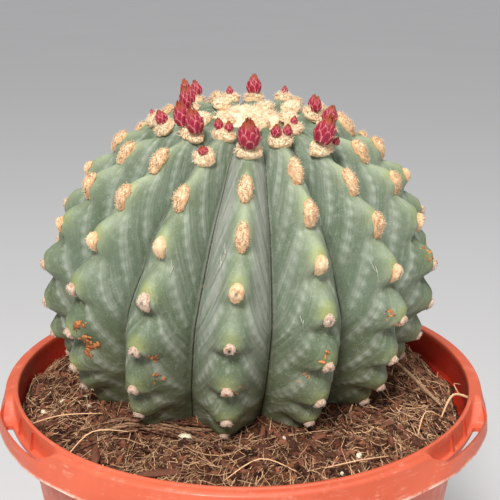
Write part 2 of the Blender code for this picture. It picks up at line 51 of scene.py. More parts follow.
# ---------------------------------------------------------------- the pot's sizes, as in the frame
RIM_INNER_RADIUS = 0.100
RIM_BAND = 0.0018
RIM_WIDTH = 0.0058
SKIRT_FLARE = 0.0027
SKIRT_WALL = 0.0013
TOP_WALL = 0.0020
WALL = 0.0018
SHOULDER_STEP = 0.0048
SHOULDER_DROP = 0.0040
BASE_RADIUS = 0.078
BASE_THICKNESS = 0.0022
FOOT_HEIGHT = 0.0028
FOOT_WIDTH = 0.0070
DRAIN_HOLES = 6
DRAIN_RADIUS = 0.0045
DRAIN_CIRCLE_RADIUS = 0.052
HANDLE_AZIMUTHS = (56.8, 180.0, 301.4)
SCOOP_HALF_ANGLE = 15.8
SCOOP_END_ANGLE = 4.6
SCOOP_DEPTH = 0.0085
SCOOP_FLOOR = 0.0018
SLOT_HALF_ANGLE = 9.2
LEDGE_WIDTH = 0.0022
SLOT_WIDTH = 0.0034
BAR_WIDTH = 0.0018
BAR_HALF_ANGLE = 20.0
BAR_TOP_DEPTH = 0.0042
GUSSET_ANGLE = 4.0
GUSSET_THICKNESS = 0.0011
SKIRT_DEPTH = SCOOP_DEPTH + SCOOP_FLOOR + 0.0017
SHOULDER_DEPTH = SKIRT_DEPTH + 0.0035
BAR_BULGE = TOP_WALL + LEDGE_WIDTH + SLOT_WIDTH + BAR_WIDTH - RIM_WIDTH - SKIRT_FLARE
NECK_RADIUS = RIM_INNER_RADIUS + TOP_WALL
SHOULDER = RIM_TOP - SHOULDER_DEPTH
WALL_TOP = SHOULDER - SHOULDER_DROP
FLOOR_TOP = FOOT_HEIGHT + BASE_THICKNESS
POT_COLUMNS = 220

# ---------------------------------------------------------------- the soil
SOIL_RADIUS = RIM_INNER_RADIUS - 0.0003
SOIL_LEVEL = RIM_TOP - 0.0125
SOIL_MOUND = 0.0145
SOIL_GAP = 0.0004            # between the soil and the pot's tapered wall
SUNK_DEPTH = 0.0065          # the soil has sunk along the right-hand side
SUNK_AZIMUTH = 88.0
SUNK_SPREAD = 34.0
PLANT_FOOT = (-0.002, 0.012)
PLANT_FOOT_RADIUS = 0.070
SOIL_RINGS = 84
SOIL_SECTORS = 400

# ---------------------------------------------------------------- the plant's sizes, as in the frame
# Places count steps down a rib: there is an areole every TURN steps, RIB_SHIFT later on each next rib
RIBS = 14
TURN = 13
RIB_SHIFT = 8
FIRST_PLACE = -39
STEM_RADIUS = 0.085
STEM_HEIGHT = 0.119
CREST_OUTLINE = (
    (0.00, 0.970), (0.21, 1.000), (0.39, 0.985), (0.56, 0.920), (0.745, 0.820), (0.89, 0.680),
    (0.99, 0.520), (1.00, 0.357), (0.97, 0.214), (0.90, 0.119), (0.80, 0.015), (0.67, -0.080),
    (0.47, -0.155), (0.24, -0.205), (0.00, -0.220),
)
RIB_DEPTH = 0.019
DEPTH_ALONG = (0.0, 0.11, 0.37, 0.70, 0.90, 0.98, 0.96, 0.93, 0.87, 0.72, 0.43, 0.21, 0.08, 0.0, 0.0)
TUBERCLE_DEPTH = 0.0055
TUBERCLE_ALONG = (0.0, 0.10, 0.25, 0.50, 0.75, 0.95, 1.0, 1.0, 0.95, 0.70, 0.2, 0.0, 0.0, 0.0, 0.0)
NOSE_DROP = 0.26
NOSE_TOP = 0.19              # the tubercles' tops are rounder than the frame's
NOSE_HALF_WIDTH = 0.32
CREST_ROUNDING = 0.14
CHEVRON = 4.0
CHEEK_LIFT = 0.0011
STREAK_RIDGE = 0.0006
TURN_OFFSET = -1.75
RIB_CROWDING = 1.7
LEAN_FORWARD = 10.96
LEAN_RIGHT = 1.17
PIVOT_DEPTH = 0.010
OFFSET_SHARE = (-0.15, 0.70)
ROOM_CLEARANCE = 0.0035
GROWTH_SHEAR = (0.058, -0.050)
SHEAR_HEIGHT = 0.42
COLUMNS_PER_RIB = 20
ROWS_PER_TURN = 20
ROOT_PLACE = 98              # below this place the body is buried and plain
LAST_PLACE = FIRST_PLACE + TURN * (len(CREST_OUTLINE) - 1)
LOWEST_AREOLE = 84

BUD_LIFT = 0.0016
BUD_CORE = 0.78              # the scales' inside, as a part of the bud's radius
SCALE_TURN = 2.39996         # from each scale to the next, in radians
SCALE_ACROSS = 6
SCALE_ALONG = 7
# Buds: rib, place, shift across and along the rib, radius and height, as in the frame
BUDS = (
    (0, -13, 0.0, 0.0, 0.0048, 0.0125),
    (1, -18, -0.0022, 0.0, 0.0023, 0.0052),
    (1, -18, 0.0026, 0.0, 0.0021, 0.0046),
    (2, -23, 0.0, 0.0, 0.0017, 0.0036),
    (2, -10, -0.0016, -0.0006, 0.0046, 0.0125),
    (2, -10, 0.0046, 0.0024, 0.0016, 0.0036),
    (3, -15, 0.0, 0.0, 0.0035, 0.0078),
    (4, -20, -0.0026, 0.0, 0.0025, 0.0066),
    (4, -20, 0.0024, 0.0, 0.0022, 0.0058),
    (6, -17, 0.0, 0.0, 0.0017, 0.0036),
    (7, -22, 0.0, 0.0, 0.0036, 0.0085),
    (-6, -22, 0.0, 0.0, 0.0018, 0.0038),
    (-5, -14, -0.0032, 0.0, 0.0028, 0.0070),
    (-5, -14, 0.0028, 0.0, 0.0030, 0.0090),
    (-4, -19, -0.0028, 0.0, 0.0027, 0.0085),
    (-4, -19, 0.0030, 0.0, 0.0029, 0.0095),
    (-2, -16, -0.0044, 0.0, 0.0040, 0.0105),
    (-2, -16, 0.0042, 0.0, 0.0040, 0.0105),
    (-1, -21, -0.0022, 0.0, 0.0021, 0.0046),
    (-1, -21, 0.0023, 0.0, 0.0020, 0.0042),
    (-1, -8, 0.0, 0.0, 0.0022, 0.0032),
    (-3, -11, 0.0, 0.0, 0.0028, 0.0058),
    (-4, -6, 0.0, 0.0, 0.0014, 0.0026),
)
PAD_TURNS = (-26, -13)       # the turns whose pads are nodes of the frame

rng = random.Random(14)


# ================================================================ small helpers
def smooth_step(value):
    value = np.clip(value, 0.0, 1.0)
    return value * value * (3 - 2 * value)


def polar(radius, azimuth):
    """A point at an azimuth in degrees, counted from the front (-Y) towards +X."""
    angle = math.radians(azimuth)
    return (radius * math.sin(angle), -radius * math.cos(angle))


def mesh_object(name, vertices, faces, material, smooth=True, attributes=None):
    """An object from arrays; attributes are floats or vectors, one for each vertex."""
    mesh = bpy.data.meshes.new(name)
    mesh.from_pydata([tuple(v) for v in vertices], [], [tuple(f) for f in faces])
    for key, values in (attributes or {}).items():
        values = np.asarray(values, dtype=np.float32)
        kind = "FLOAT" if values.ndim == 1 else "FLOAT_VECTOR"
        layer = mesh.attributes.new(key, kind, "POINT")
        layer.data.foreach_set("value" if values.ndim == 1 else "vector", values.ravel())
    mesh.materials.append(material)
    mesh.polygons.foreach_set("use_smooth", [smooth] * len(mesh.polygons))
    mesh.update()
    ob = bpy.data.objects.new(name, mesh)
    bpy.context.scene.collection.objects.link(ob)
    return ob


def finish_piece(ob, slot, *nodes):
    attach(ob, BODY)
    if nodes:
        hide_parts(*nodes)
    return ob


def lumps(point, scale, seed=0.0):
    """Smooth noise from about -1 to 1, with features of about 1/scale metres."""
    return noise.noise(Vector(point) * scale + Vector((seed, seed * 1.7, seed * 0.6)))


def ring_faces(low, high, count):
    """The band of faces between two closed rings, from the numbers of their first vertices."""
    return [(low + i, low + (i + 1) % count, high + (i + 1) % count, high + i) for i in range(count)]


def spline(before, start, end, after, f):
    """The Catmull-Rom curve from start to end."""
    return 0.5 * (2 * start + (end - before) * f + (2 * before - 5 * start + 4 * end - after) * f * f
                  + (3 * start - before - 3 * end + after) * f ** 3)


# ================================================================ materials
class Shader:
    """A Principled material and short ways to add nodes to it."""

    def __init__(self, name, roughness=0.5, specular=0.5):
        self.material = bpy.data.materials.new(name)
        self.material.use_nodes = True
        self.tree = self.material.node_tree
        self.bsdf = self.tree.nodes["Principled BSDF"]
        self.bsdf.inputs["Roughness"].default_value = roughness
        self.bsdf.inputs["Specular IOR Level"].default_value = specular

    def node(self, kind, **settings):
        made = self.tree.nodes.new(kind)
        for key, value in settings.items():
            setattr(made, key, value)
        return made

    def plug(self, socket, value):
        if isinstance(value, bpy.types.NodeSocket):
            self.tree.links.new(value, socket)
        elif value is not None:
            socket.default_value = value

    def attribute(self, name, vector=False):
        made = self.node("ShaderNodeAttribute", attribute_name=name)
        return made.outputs["Vector" if vector else "Fac"]

    def position(self):
        return self.node("ShaderNodeTexCoord").outputs["Object"]

    def stretched(self, vector, scale):
        made = self.node("ShaderNodeMapping")
        self.plug(made.inputs["Vector"], vector)
        made.inputs["Scale"].default_value = scale
        return made.outputs["Vector"]

    def noise(self, vector, scale, detail=3.0, roughness=0.55):
        made = self.node("ShaderNodeTexNoise")
        self.plug(made.inputs["Vector"], vector)
        made.inputs["Scale"].default_value = scale
        made.inputs["Detail"].default_value = detail
        made.inputs["Roughness"].default_value = roughness
        return made.outputs["Fac"]

    def cells(self, vector, scale):
        made = self.node("ShaderNodeTexVoronoi")
        self.plug(made.inputs["Vector"], vector)
        made.inputs["Scale"].default_value = scale
        return made.outputs["Distance"]

    def map(self, value, low, high, to_low=0.0, to_high=1.0):
        made = self.node("ShaderNodeMapRange", clamp=True)
        self.plug(made.inputs["Value"], value)
        for key, number in (("From Min", low), ("From Max", high), ("To Min", to_low), ("To Max", to_high)):
            made.inputs[key].default_value = number
        return made.outputs["Result"]

    def math(self, operation, first, second=None):
        made = self.node("ShaderNodeMath", operation=operation)
        self.plug(made.inputs[0], first)
        self.plug(made.inputs[1], second)
        return made.outputs[0]

    def mix(self, share, first, second):
        made = self.node("ShaderNodeMix", data_type="RGBA")
        self.plug(made.inputs["Factor"], share)
        for key, value in ((6, first), (7, second)):
            self.plug(made.inputs[key], (*value, 1.0) if isinstance(value, tuple) else value)
        return made.outputs[2]

    def bump(self, height, strength, distance, normal=None):
        made = self.node("ShaderNodeBump")
        made.inputs["Strength"].default_value = strength
        made.inputs["Distance"].default_value = distance
        self.plug(made.inputs["Height"], height)
        self.plug(made.inputs["Normal"], normal)
        return made.outputs["Normal"]

    def out(self, colour=None, roughness=None, normal=None):
        self.plug(self.bsdf.inputs["Base Color"], colour)
        self.plug(self.bsdf.inputs["Roughness"], roughness)
        self.plug(self.bsdf.inputs["Normal"], normal)
        return self.material


def skin_material():
    """Waxy blue-green skin: pale bloom in streaks down the flanks, yellow-green round the areoles."""
    s = Shader("cactus_skin_look", specular=0.40)
    grain = s.attribute("grain", vector=True)
    where = s.position()
    broad = s.noise(where, 38.0, 3.0)
    colour = s.mix(s.map(broad, 0.36, 0.64), (0.092, 0.136, 0.070), (0.140, 0.186, 0.122))
    colour = s.mix(s.math("MULTIPLY", s.attribute("low"), 0.75), colour, (0.135, 0.142, 0.066))
    # long faint streaks that run with the flanks
    fine_streaks = s.noise(s.stretched(grain, (17.0, 0.9, 1.0)), 1.0, 4.0, 0.6)
    wide_streaks = s.noise(s.stretched(grain, (5.0, 0.6, 1.0)), 1.0, 3.0, 0.5)
    veil = s.math("MULTIPLY", s.map(fine_streaks, 0.46, 0.70, 0.0, 0.60), s.map(wide_streaks, 0.40, 0.62))
    colour = s.mix(veil, colour, (0.30, 0.335, 0.268))
    bloom = s.math("MULTIPLY", s.attribute("streak"), s.map(fine_streaks, 0.26, 0.60, 0.35, 1.0))
    colour = s.mix(s.math("MULTIPLY", bloom, 0.66), colour, (0.50, 0.54, 0.45))
    dusted = s.math("MULTIPLY", s.attribute("crest"), s.map(broad, 0.32, 0.62, 0.35, 0.85))
    colour = s.mix(dusted, colour, (0.40, 0.46, 0.30))
    # painted light: pale grey over the streaks on the flanks, strongest on the front rib that faces the key
    worn = s.math("MULTIPLY", s.attribute("front_rib_painted_light"), s.map(fine_streaks, 0.34, 0.60, 0.35, 1.0))
    colour = s.mix(s.math("MULTIPLY", worn, 0.90), colour, (0.42, 0.43, 0.38))
    patch = s.math("MULTIPLY", s.attribute("patch"), s.map(broad, 0.25, 0.55, 0.55, 0.95))
    colour = s.mix(patch, colour, (0.37, 0.41, 0.135))
    # painted shade: the dips in the crest between the tubercles are darkened
    colour = s.mix(s.math("MULTIPLY", s.attribute("hollow"), 0.55), colour, (0.060, 0.068, 0.026))
    # bloom worn into pale mottling, tiny pores and dark flecks
    mottle = s.noise(where, 420.0, 4.0, 0.65)
    colour = s.mix(s.map(mottle, 0.54, 0.72, 0.0, 0.38), colour, (0.39, 0.425, 0.35))
    pores = s.cells(where, 900.0)
    colour = s.mix(s.map(pores, 0.05, 0.24, 0.36, 0.0), colour, (0.54, 0.58, 0.48))
    flecks = s.noise(where, 650.0, 2.0)
    colour = s.mix(s.map(flecks, 0.28, 0.40, 0.20, 0.0), colour, (0.055, 0.070, 0.035))
    width = s.attribute("width")
    # painted shade: the flanks darkened towards the valleys, and a thin dark line with a few brown specks in
    # each valley's crease
    valley_flank_shade = s.math("MULTIPLY", s.map(width, 0.80, 1.0), s.attribute("valley_shade"))
    colour = s.mix(s.math("MULTIPLY", valley_flank_shade, 0.55), colour, (0.050, 0.058, 0.030))
    valley_shade = s.math("MULTIPLY", s.map(width, 0.968, 0.990), s.attribute("valley_shade"))
    specks = s.map(s.noise(where, 1100.0, 2.0), 0.60, 0.66)
    colour = s.mix(valley_shade, colour, s.mix(specks, (0.016, 0.020, 0.010), (0.17, 0.11, 0.03)))
    normal = s.bump(mottle, 0.40, 0.0006)
    normal = s.bump(fine_streaks, 0.35, 0.0009, normal)
    roughness = s.map(mottle, 0.35, 0.70, 0.40, 0.62)
    return s.out(colour, roughness, normal)


def wool_material(name, root, middle, tip, dirt):
    """Felted wool; each hair is paler towards its tip, partly its own colour and partly painted shade at its
    root; the felt's dome is painted paler on top and darker at its foot as painted light and shade; old wool
    is stained brown.
    """
    s = Shader(name, roughness=0.92, specular=0.15)
    where = s.position()
    along = s.attribute("along")
    # painted light and shade: paler towards the tips and the dome's top, darker towards the roots and the
    # dome's foot
    colour = s.mix(s.map(along, 0.0, 0.55), root, middle)
    colour = s.mix(s.map(along, 0.45, 1.0), colour, tip)
    patches = s.noise(where, 560.0, 3.0, 0.6)
    colour = s.mix(s.map(patches, 0.54, 0.66, 0.0, 0.85), colour, dirt)
    grains = s.noise(where, 1900.0, 3.0, 0.7)
    # painted shade: the dips between the felt's grains are darkened towards the root colour
    colour = s.mix(s.map(grains, 0.30, 0.44, 0.50, 0.0), colour, root)
    colour = s.mix(s.attribute("hole"), colour, (0.060, 0.022, 0.014))
    normal = s.bump(grains, 0.45, 0.0005)
    s.bsdf.inputs["Sheen Weight"].default_value = 0.35
    s.bsdf.inputs["Sheen Roughness"].default_value = 0.5
    return s.out(colour, None, normal)


def bud_material():
    """Papery crimson scales with pale pink margins and brown-orange points."""
    s = Shader("bud_scales_look", specular=0.45)
    where = s.position()
    veins = s.noise(where, 1500.0, 3.0, 0.6)
    colour = s.mix(s.map(veins, 0.35, 0.65), (0.27, 0.006, 0.032), (0.54, 0.024, 0.078))
    edge = s.attribute("edge")
    colour = s.mix(s.map(edge, 0.0, 0.6, 0.45, 0.0), colour, (0.20, 0.004, 0.018))
    colour = s.mix(s.map(edge, 0.40, 0.80, 0.0, 0.85), colour, (0.98, 0.36, 0.36))
    colour = s.mix(s.attribute("tip"), colour, (0.38, 0.080, 0.024))
    roughness = s.map(veins, 0.3, 0.7, 0.38, 0.60)
    return s.out(colour, roughness, s.bump(veins, 0.4, 0.0004))


def pot_material():
    """Orange-red moulded plastic: satin, scuffed along the skirt, with a dusty inside painted a darker,
    deeper red as painted shade.
    """
    s = Shader("pot_plastic_look", specular=0.5)
    where = s.position()
    cloud = s.noise(where, 22.0, 4.0, 0.6)
    colour = s.mix(s.map(cloud, 0.35, 0.65), (0.590, 0.098, 0.042), (0.720, 0.140, 0.068))
    rim = s.attribute("worn")
    scratches = s.noise(s.stretched(where, (60.0, 60.0, 900.0)), 1.0, 4.0, 0.65)
    scuffs = s.noise(where, 130.0, 5.0, 0.7)
    marks = s.math("MULTIPLY", s.map(scuffs, 0.52, 0.66), s.map(scratches, 0.46, 0.60))
    marks = s.math("MULTIPLY", marks, s.map(rim, 0.0, 1.0, 0.30, 1.0))
    colour = s.mix(s.math("MULTIPLY", marks, 0.55), colour, (0.86, 0.40, 0.27))
    flash = s.math("MULTIPLY", s.attribute("flash"), s.map(scuffs, 0.38, 0.56))
    colour = s.mix(flash, colour, (0.98, 0.66, 0.52))
    # painted shade: the inside wall is painted a darker, deeper red, with dust over it
    colour = s.mix(s.attribute("inside"), colour, (0.46, 0.022, 0.008))
    dust = s.math("MULTIPLY", s.attribute("inside"), s.map(s.noise(where, 170.0, 4.0), 0.54, 0.80, 0.0, 0.35))
    colour = s.mix(dust, colour, (0.18, 0.060, 0.032))
    grit = s.noise(where, 1500.0, 2.0)
    colour = s.mix(s.map(grit, 0.70, 0.78, 0.0, 0.5), colour, (0.25, 0.10, 0.05))
    fine = s.noise(where, 700.0, 4.0, 0.6)
    normal = s.bump(fine, 0.16, 0.0004)
    normal = s.bump(scratches, 0.10, 0.0005, normal)
    roughness = s.map(scuffs, 0.35, 0.65, 0.34, 0.56)
    return s.out(colour, roughness, normal)


def soil_material():
    """Dark peat with redder grains of coir dust."""
    s = Shader("soil_look", roughness=0.95, specular=0.2)
    where = s.position()
    big = s.noise(where, 260.0, 5.0, 0.7)
    small = s.noise(where, 1300.0, 4.0, 0.7)
    colour = s.mix(s.map(big, 0.38, 0.62), (0.016, 0.006, 0.004), (0.130, 0.046, 0.022))
    colour = s.mix(s.map(small, 0.52, 0.66, 0.0, 0.8), colour, (0.38, 0.145, 0.070))
    normal = s.bump(small, 0.9, 0.0009)
    normal = s.bump(big, 0.6, 0.0015, normal)
    return s.out(colour, None, normal)


def toned_material(name, dark, pale, roughness=0.85, grain_scale=900.0):
    """For loose bits: each one's own tone, from dark to pale, with grain over it."""
    s = Shader(name, roughness=roughness, specular=0.25)
    where = s.position()
    grain = s.noise(where, grain_scale, 4.0, 0.65)
    tone = s.math("ADD", s.attribute("tone"), s.map(grain, 0.3, 0.7, -0.22, 0.22))
    colour = s.mix(s.map(tone, 0.0, 1.0), dark, pale)
    return s.out(colour, None, s.bump(grain, 0.5, 0.0005))


# ================================================================ the plant's form
def curve_through(values, place):
    """A Catmull-Rom curve through values one turn apart, the first at the crown's middle."""
    values = np.asarray(values, dtype=float)
    t = (np.asarray(place, dtype=float) - FIRST_PLACE) / TURN
    i = np.clip(np.floor(t).astype(int), 0, len(values) - 2)
    f = t - i
    before = values[np.where(i > 0, i - 1, 1)]
    after = values[np.minimum(i + 2, len(values) - 1)]
    start, end = values[i], values[i + 1]
    return spline(before, start, end, after, f)


def crest_point(place):
    """Radius and height of the crest of a rib before the plant leans."""
    radius = np.abs(curve_through([r for r, _ in CREST_OUTLINE], place)) * STEM_RADIUS
    return radius, curve_through([h for _, h in CREST_OUTLINE], place) * STEM_HEIGHT


def crest_normal(place):
    """How far out and how far up the crest's normal points."""
    step = 0.5
    r0, h0 = crest_point(np.maximum(place - step, FIRST_PLACE + 0.01))
    r1, h1 = crest_point(np.minimum(place + step, LAST_PLACE - 0.01))
    length = np.hypot(r1 - r0, h1 - h0)
    return (h0 - h1) / length, (r1 - r0) / length


def nose(part):
    """How far the crest is sunk between two areoles, from 0 to 1, part of the way down."""
    return np.where(part < NOSE_DROP, smooth_step(part / NOSE_DROP),
                    1 - smooth_step((part - NOSE_DROP) / (1 - NOSE_TOP - NOSE_DROP)))


def plant_transform(points):
    """From the plant's own axis to its leaning place in the pot."""
    room = RIM_INNER_RADIUS - CREST_OUTLINE[9][0] * STEM_RADIUS - ROOM_CLEARANCE
    pivot = np.array((0.0, 0.0, -PIVOT_DEPTH))
    lean = Matrix.Rotation(math.radians(LEAN_FORWARD), 3, "X") @ Matrix.Rotation(
        math.radians(LEAN_RIGHT), 3, "Y")
    placed = (points - pivot) @ np.array(lean).T + pivot
    placed[:, 0] += OFFSET_SHARE[0] * room
    placed[:, 1] += OFFSET_SHARE[1] * room
    rise = placed[:, 2] - SHEAR_HEIGHT * STEM_HEIGHT
    placed[:, 0] += GROWTH_SHEAR[0] * rise
    placed[:, 1] += GROWTH_SHEAR[1] * rise
    placed[:, 2] += RIM_TOP
    return placed


def uneven(rib, turn_number):
    """A fixed random number from -1 to 1 for each tubercle."""
    value = np.sin(rib * 12.9898 + turn_number * 78.233) * 43758.5453
    return 2 * (value - np.floor(value)) - 1


def streak_line(turns, width):
    """How near a point is to the pale line that runs from beside an areole down to the valley."""
    off = (turns - (width - 0.12) / 0.45) % 1.0
    off = np.where(off < 0.5, off / 0.07, (1.0 - off) / 0.17)
    return np.exp(-off ** 2) * smooth_step((width - 0.10) / 0.2) * smooth_step((1.0 - width) / 0.35)


def skin_points(rib, place, across, lift=0.0):
    """Points of the skin: across is 0 on a rib's crest and 1 or -1 in the valleys beside it."""
    rib, place, across = (np.asarray(a, dtype=float) for a in (rib, place, across))
    radius, height = crest_point(place)
    out, up = crest_normal(place)
    width = np.abs(across)
    rounding = np.hypot(width, CREST_ROUNDING) - CREST_ROUNDING
    valley = rounding / (math.hypot(1, CREST_ROUNDING) - CREST_ROUNDING)
    depth = curve_through(DEPTH_ALONG, place)
    sink = RIB_DEPTH * depth * valley
    turns = (place - RIB_SHIFT * rib - CHEVRON * width) / TURN
    part = turns % 1.0
    amount = TUBERCLE_DEPTH * (1 + 0.16 * uneven(rib, np.floor(turns)))
    along = curve_through(TUBERCLE_ALONG, place)
    sink = sink + amount * along * nose(part) * np.exp(-(width / NOSE_HALF_WIDTH) ** 2)
    # each tubercle's rounded cheeks, and the low ridge that runs from it down to the valley
    sink = sink - CHEEK_LIFT * along * (1 - nose(part)) * np.exp(-((width - 0.24) / 0.13) ** 2)
    plain_turns = (place - RIB_SHIFT * rib) / TURN
    sink = sink - STREAK_RIDGE * depth * streak_line(plain_turns, width) * (1 - width ** 3)
    phase = 360.0 / RIBS * (rib + across / 2)
    sway = 0.5 * np.sin(place / 9.0 + rib * 2.3) * depth * (1 - width)
    azimuth = np.radians(TURN_OFFSET + phase - RIB_CROWDING * np.sin(np.radians(phase)) + sway)
    reach = np.maximum(radius - (sink - lift) * out, 0.0)
    points = np.stack((reach * np.sin(azimuth), -reach * np.cos(azimuth),
                       height - (sink - lift) * up), axis=-1)
    return plant_transform(points.reshape(-1, 3))


def skin_frame(rib, place, across=0.0, reach=2.6):
    """A point of the skin with its directions across, along (downwards) and out of it."""
    a = 0.12
    here, up, down, left, right = (Vector(p) for p in skin_points(
        [rib] * 5, [place, place - reach, place + reach, place, place],
        [across, across, across, across - a, across + a]))
    side = (right - left).normalized()
    along = (down - up).normalized()
    normal = along.cross(side).normalized()
    if normal.dot(here - Vector((0, 0, RIM_TOP + 0.03))) < 0:
        normal.negate()
    along = (along - normal * along.dot(normal)).normalized()
    return here, Matrix((normal.cross(along), along, normal)).transposed()


def rib_numbers():
    """The ribs, with 0 at the front."""
    return range(1 - RIBS // 2, RIBS // 2 + 1)


def areole_places(rib, low, high):
    """The places of a rib's areoles from low to high."""
    first = low + (RIB_SHIFT * rib - low) % TURN
    return list(range(first, high + 1, TURN))


def build_stem(material):
    columns = [(rib, -1 + 2 * i / COLUMNS_PER_RIB) for rib in rib_numbers() for i in range(COLUMNS_PER_RIB)]
    ribs = np.array([c[0] for c in columns], dtype=float)
    across = np.array([c[1] for c in columns])
    fine = np.arange(FIRST_PLACE + 0.8, ROOT_PLACE, TURN / ROWS_PER_TURN)
    coarse = np.arange(ROOT_PLACE, LAST_PLACE - 1, TURN / 4)
    places = np.concatenate((fine, coarse))
    vertices, grain, masks = [], [], []
    for place in places:
        where = np.full(len(columns), place)
        ring = skin_points(ribs, where, across)
        vertices.append(ring)
        turns = (where - RIB_SHIFT * ribs) / TURN
        grain.append(np.stack((np.abs(across) - 0.45 * turns, turns, across * 0.9 + ribs * 5.3), axis=-1))
        masks.append(skin_masks(ribs, where, across))
    crown = skin_points([0], [FIRST_PLACE], [0])[0]
    root = skin_points([0], [LAST_PLACE], [0])[0]
    points = np.concatenate([*vertices, [crown], [root]])
    for i, point in enumerate(points):
        push = 0.0007 * lumps(point, 55.0) + 0.00025 * lumps(point, 260.0, 3.0)
        outward = Vector(point) - Vector((0, 0.01, RIM_TOP + 0.045))
        points[i] = point + np.array(outward.normalized()) * push
    count = len(columns)
    faces = []
    for row in range(len(places) - 1):
        base = row * count
        for i in range(count):
            j = (i + 1) % count
            faces.append((base + i, base + count + i, base + count + j, base + j))
    last = (len(places) - 1) * count
    top, bottom = len(points) - 2, len(points) - 1
    for i in range(count):
        j = (i + 1) % count
        faces.append((top, i, j))
        faces.append((bottom, last + j, last + i))
    attributes = {"grain": np.concatenate([*grain, [[0, 0, 0]], [[0, 0, 0]]])}
    for key in masks[0]:
        attributes[key] = np.concatenate([*(m[key] for m in masks), [0.0, 0.0]])
    ob = mesh_object("cactus_body", points, faces, material, attributes=attributes)
    return finish_piece(ob, "cactus_skin", "cactus_stem")


def skin_masks(rib, place, across):
    """Where the skin has painted shade in the dips between tubercles, is dusted, yellow or streaked, has
    painted light over the pale streaks on the front rib's flanks, has painted shade in the valleys, or is
    old, each from 0 to 1.
    """
    width = np.abs(across)
    turns = (place - RIB_SHIFT * rib) / TURN
    part = turns % 1.0
    above = smooth_step((part - 0.60) / 0.26)
    around = np.exp(-(np.minimum(part, 1 - part) / 0.15) ** 2)
    young = smooth_step((place + 34) / 30)
    patch = above * np.exp(-(width / 0.17) ** 2) + 0.4 * around * np.exp(-(width / 0.24) ** 2)
    # painted shade in the dip below each tubercle's nose
    hollow = nose(part) * np.exp(-(width / 0.34) ** 2) * smooth_step((0.62 - part) / 0.3)
    return {
        "width": width,
        "hollow": hollow * smooth_step((place - 12) / 30),
        "crest": np.exp(-(width / 0.30) ** 2) * young * smooth_step((50 - place) / 40),
        "patch": np.clip(patch, 0, 1) * young * (0.72 + 0.28 * uneven(rib, np.floor(turns))),
        "streak": streak_line(turns, width) * young,
        # painted light on the flanks of the front rib
        "front_rib_painted_light": (smooth_step((width - 0.20) / 0.3) * (0.12 + 0.88 * np.exp(-(rib / 0.7) ** 2))
                  * smooth_step((66 - place) / 50) * young),
        # painted shade along the valleys, away from the crown
        "valley_shade": smooth_step((place + 34) / 22),
        "low": smooth_step((place - 30) / 50),
    }


# ================================================================ wool
def unit_ball(subdivisions):
    bm = bmesh.new()
    bmesh.ops.create_icosphere(bm, subdivisions=subdivisions, radius=1.0)
    points = np.array([v.co[:] for v in bm.verts])
    faces = [[v.index for v in f.verts] for f in bm.faces]
    bm.free()
    return points, faces


PAD_BALL = unit_ball(4)
SMALL_BALL = unit_ball(2)


def hair(root, direction, length, radius, bend):
    """One tapering hair: a bent three-sided spike."""
    sides = 3
    direction = direction.normalized()
    side = direction.orthogonal().normalized()
    other = direction.cross(side)
    middle = root + direction * length * 0.55 + bend * length * 0.18
    tip = root + direction * length + bend * length * 0.5
    points = []
    for centre, size in ((root, radius), (middle, radius * 0.7)):
        for i in range(sides):
            angle = 2 * math.pi * i / sides
            points.append(centre + (side * math.cos(angle) + other * math.sin(angle)) * size)
    points.append(tip)
    faces = ring_faces(0, sides, sides)
    faces += [(sides + i, sides + (i + 1) % sides, 2 * sides) for i in range(sides)]
    faces.append(tuple(reversed(range(sides))))
    return points, faces, [0.0] * sides + [0.55] * sides + [1.0]


def random_unit():
    return Vector((rng.gauss(0, 1), rng.gauss(0, 1), rng.gauss(0, 1))).normalized()


def wool_patch(name, material, surface, height, hairs, hair_length, lumpiness, old=0.0, buried=0.0010,
               nodes=()):
    """A felted tuft: a lumpy dome over a patch of skin, with hairs standing out of it.

    surface(a, b, lift) gives skin points for a and b from -1 to 1 across and along the patch.
    An old one has a hollow in its middle, and buried is how deep its underside goes.
    """
    ball, ball_faces = PAD_BALL
    top = np.maximum(ball[:, 2], 0.0)
    lift = top * height + np.minimum(ball[:, 2], 0.0) * buried
    seed = rng.uniform(0, 50)
    ragged = np.array([1 + 0.13 * lumps(p, 2.6, seed) + 0.09 * lumps(p, 8.0, seed) for p in ball])
    bumps = np.array([0.7 * lumps(p, 3.0, seed) + 0.5 * lumps(p, 8.5, seed + 5)
                      + 0.4 * lumps(p, 15.0, seed + 8) for p in ball])
    centre = np.exp(-(ball[:, 0] ** 2 + (ball[:, 1] * 0.8) ** 2) / 0.07) * (ball[:, 2] > 0)
    lift = lift + height * (lumpiness * bumps * np.sqrt(top) - 0.75 * old * centre)
    points = surface(ball[:, 0] * ragged, ball[:, 1] * ragged, lift)
    vertices = list(points)
    faces = [list(f) for f in ball_faces]
    # painted light and shade: the dome takes the hair tones, paler on top and darker at its foot
    along = list(0.35 + 0.45 * top)
    hole = list(np.clip(old * centre * 1.3, 0, 1))
    for _ in range(hairs):
        angle, reach = rng.uniform(0, 2 * math.pi), math.sqrt(rng.uniform(0.3 * old, 1.0))
        a, b = reach * math.cos(angle), reach * math.sin(angle)
        root_lift = height * math.sqrt(max(1 - reach ** 2, 0.0)) * 0.85
        root, above, outer = (Vector(p) for p in surface(
            np.array((a, a, a * 1.12)), np.array((b, b, b * 1.12)),
            np.array((root_lift, root_lift + 0.001, root_lift))))
        up = (above - root).normalized()
        lean = (outer - root) * (900.0 * reach)
        direction = up + lean * 0.9 + random_unit() * 0.55
        points, hair_faces, tone = hair(root, direction, hair_length * rng.uniform(0.5, 1.15),
                                        rng.uniform(0.00009, 0.00017), random_unit())
        base = len(vertices)
        vertices += points
        faces += [[base + i for i in f] for f in hair_faces]
        along += tone
        hole += [0.0] * len(points)
    ob = mesh_object(name, vertices, faces, material, attributes={"along": along, "hole": hole})
    return finish_piece(ob, "areole_wool", *nodes)


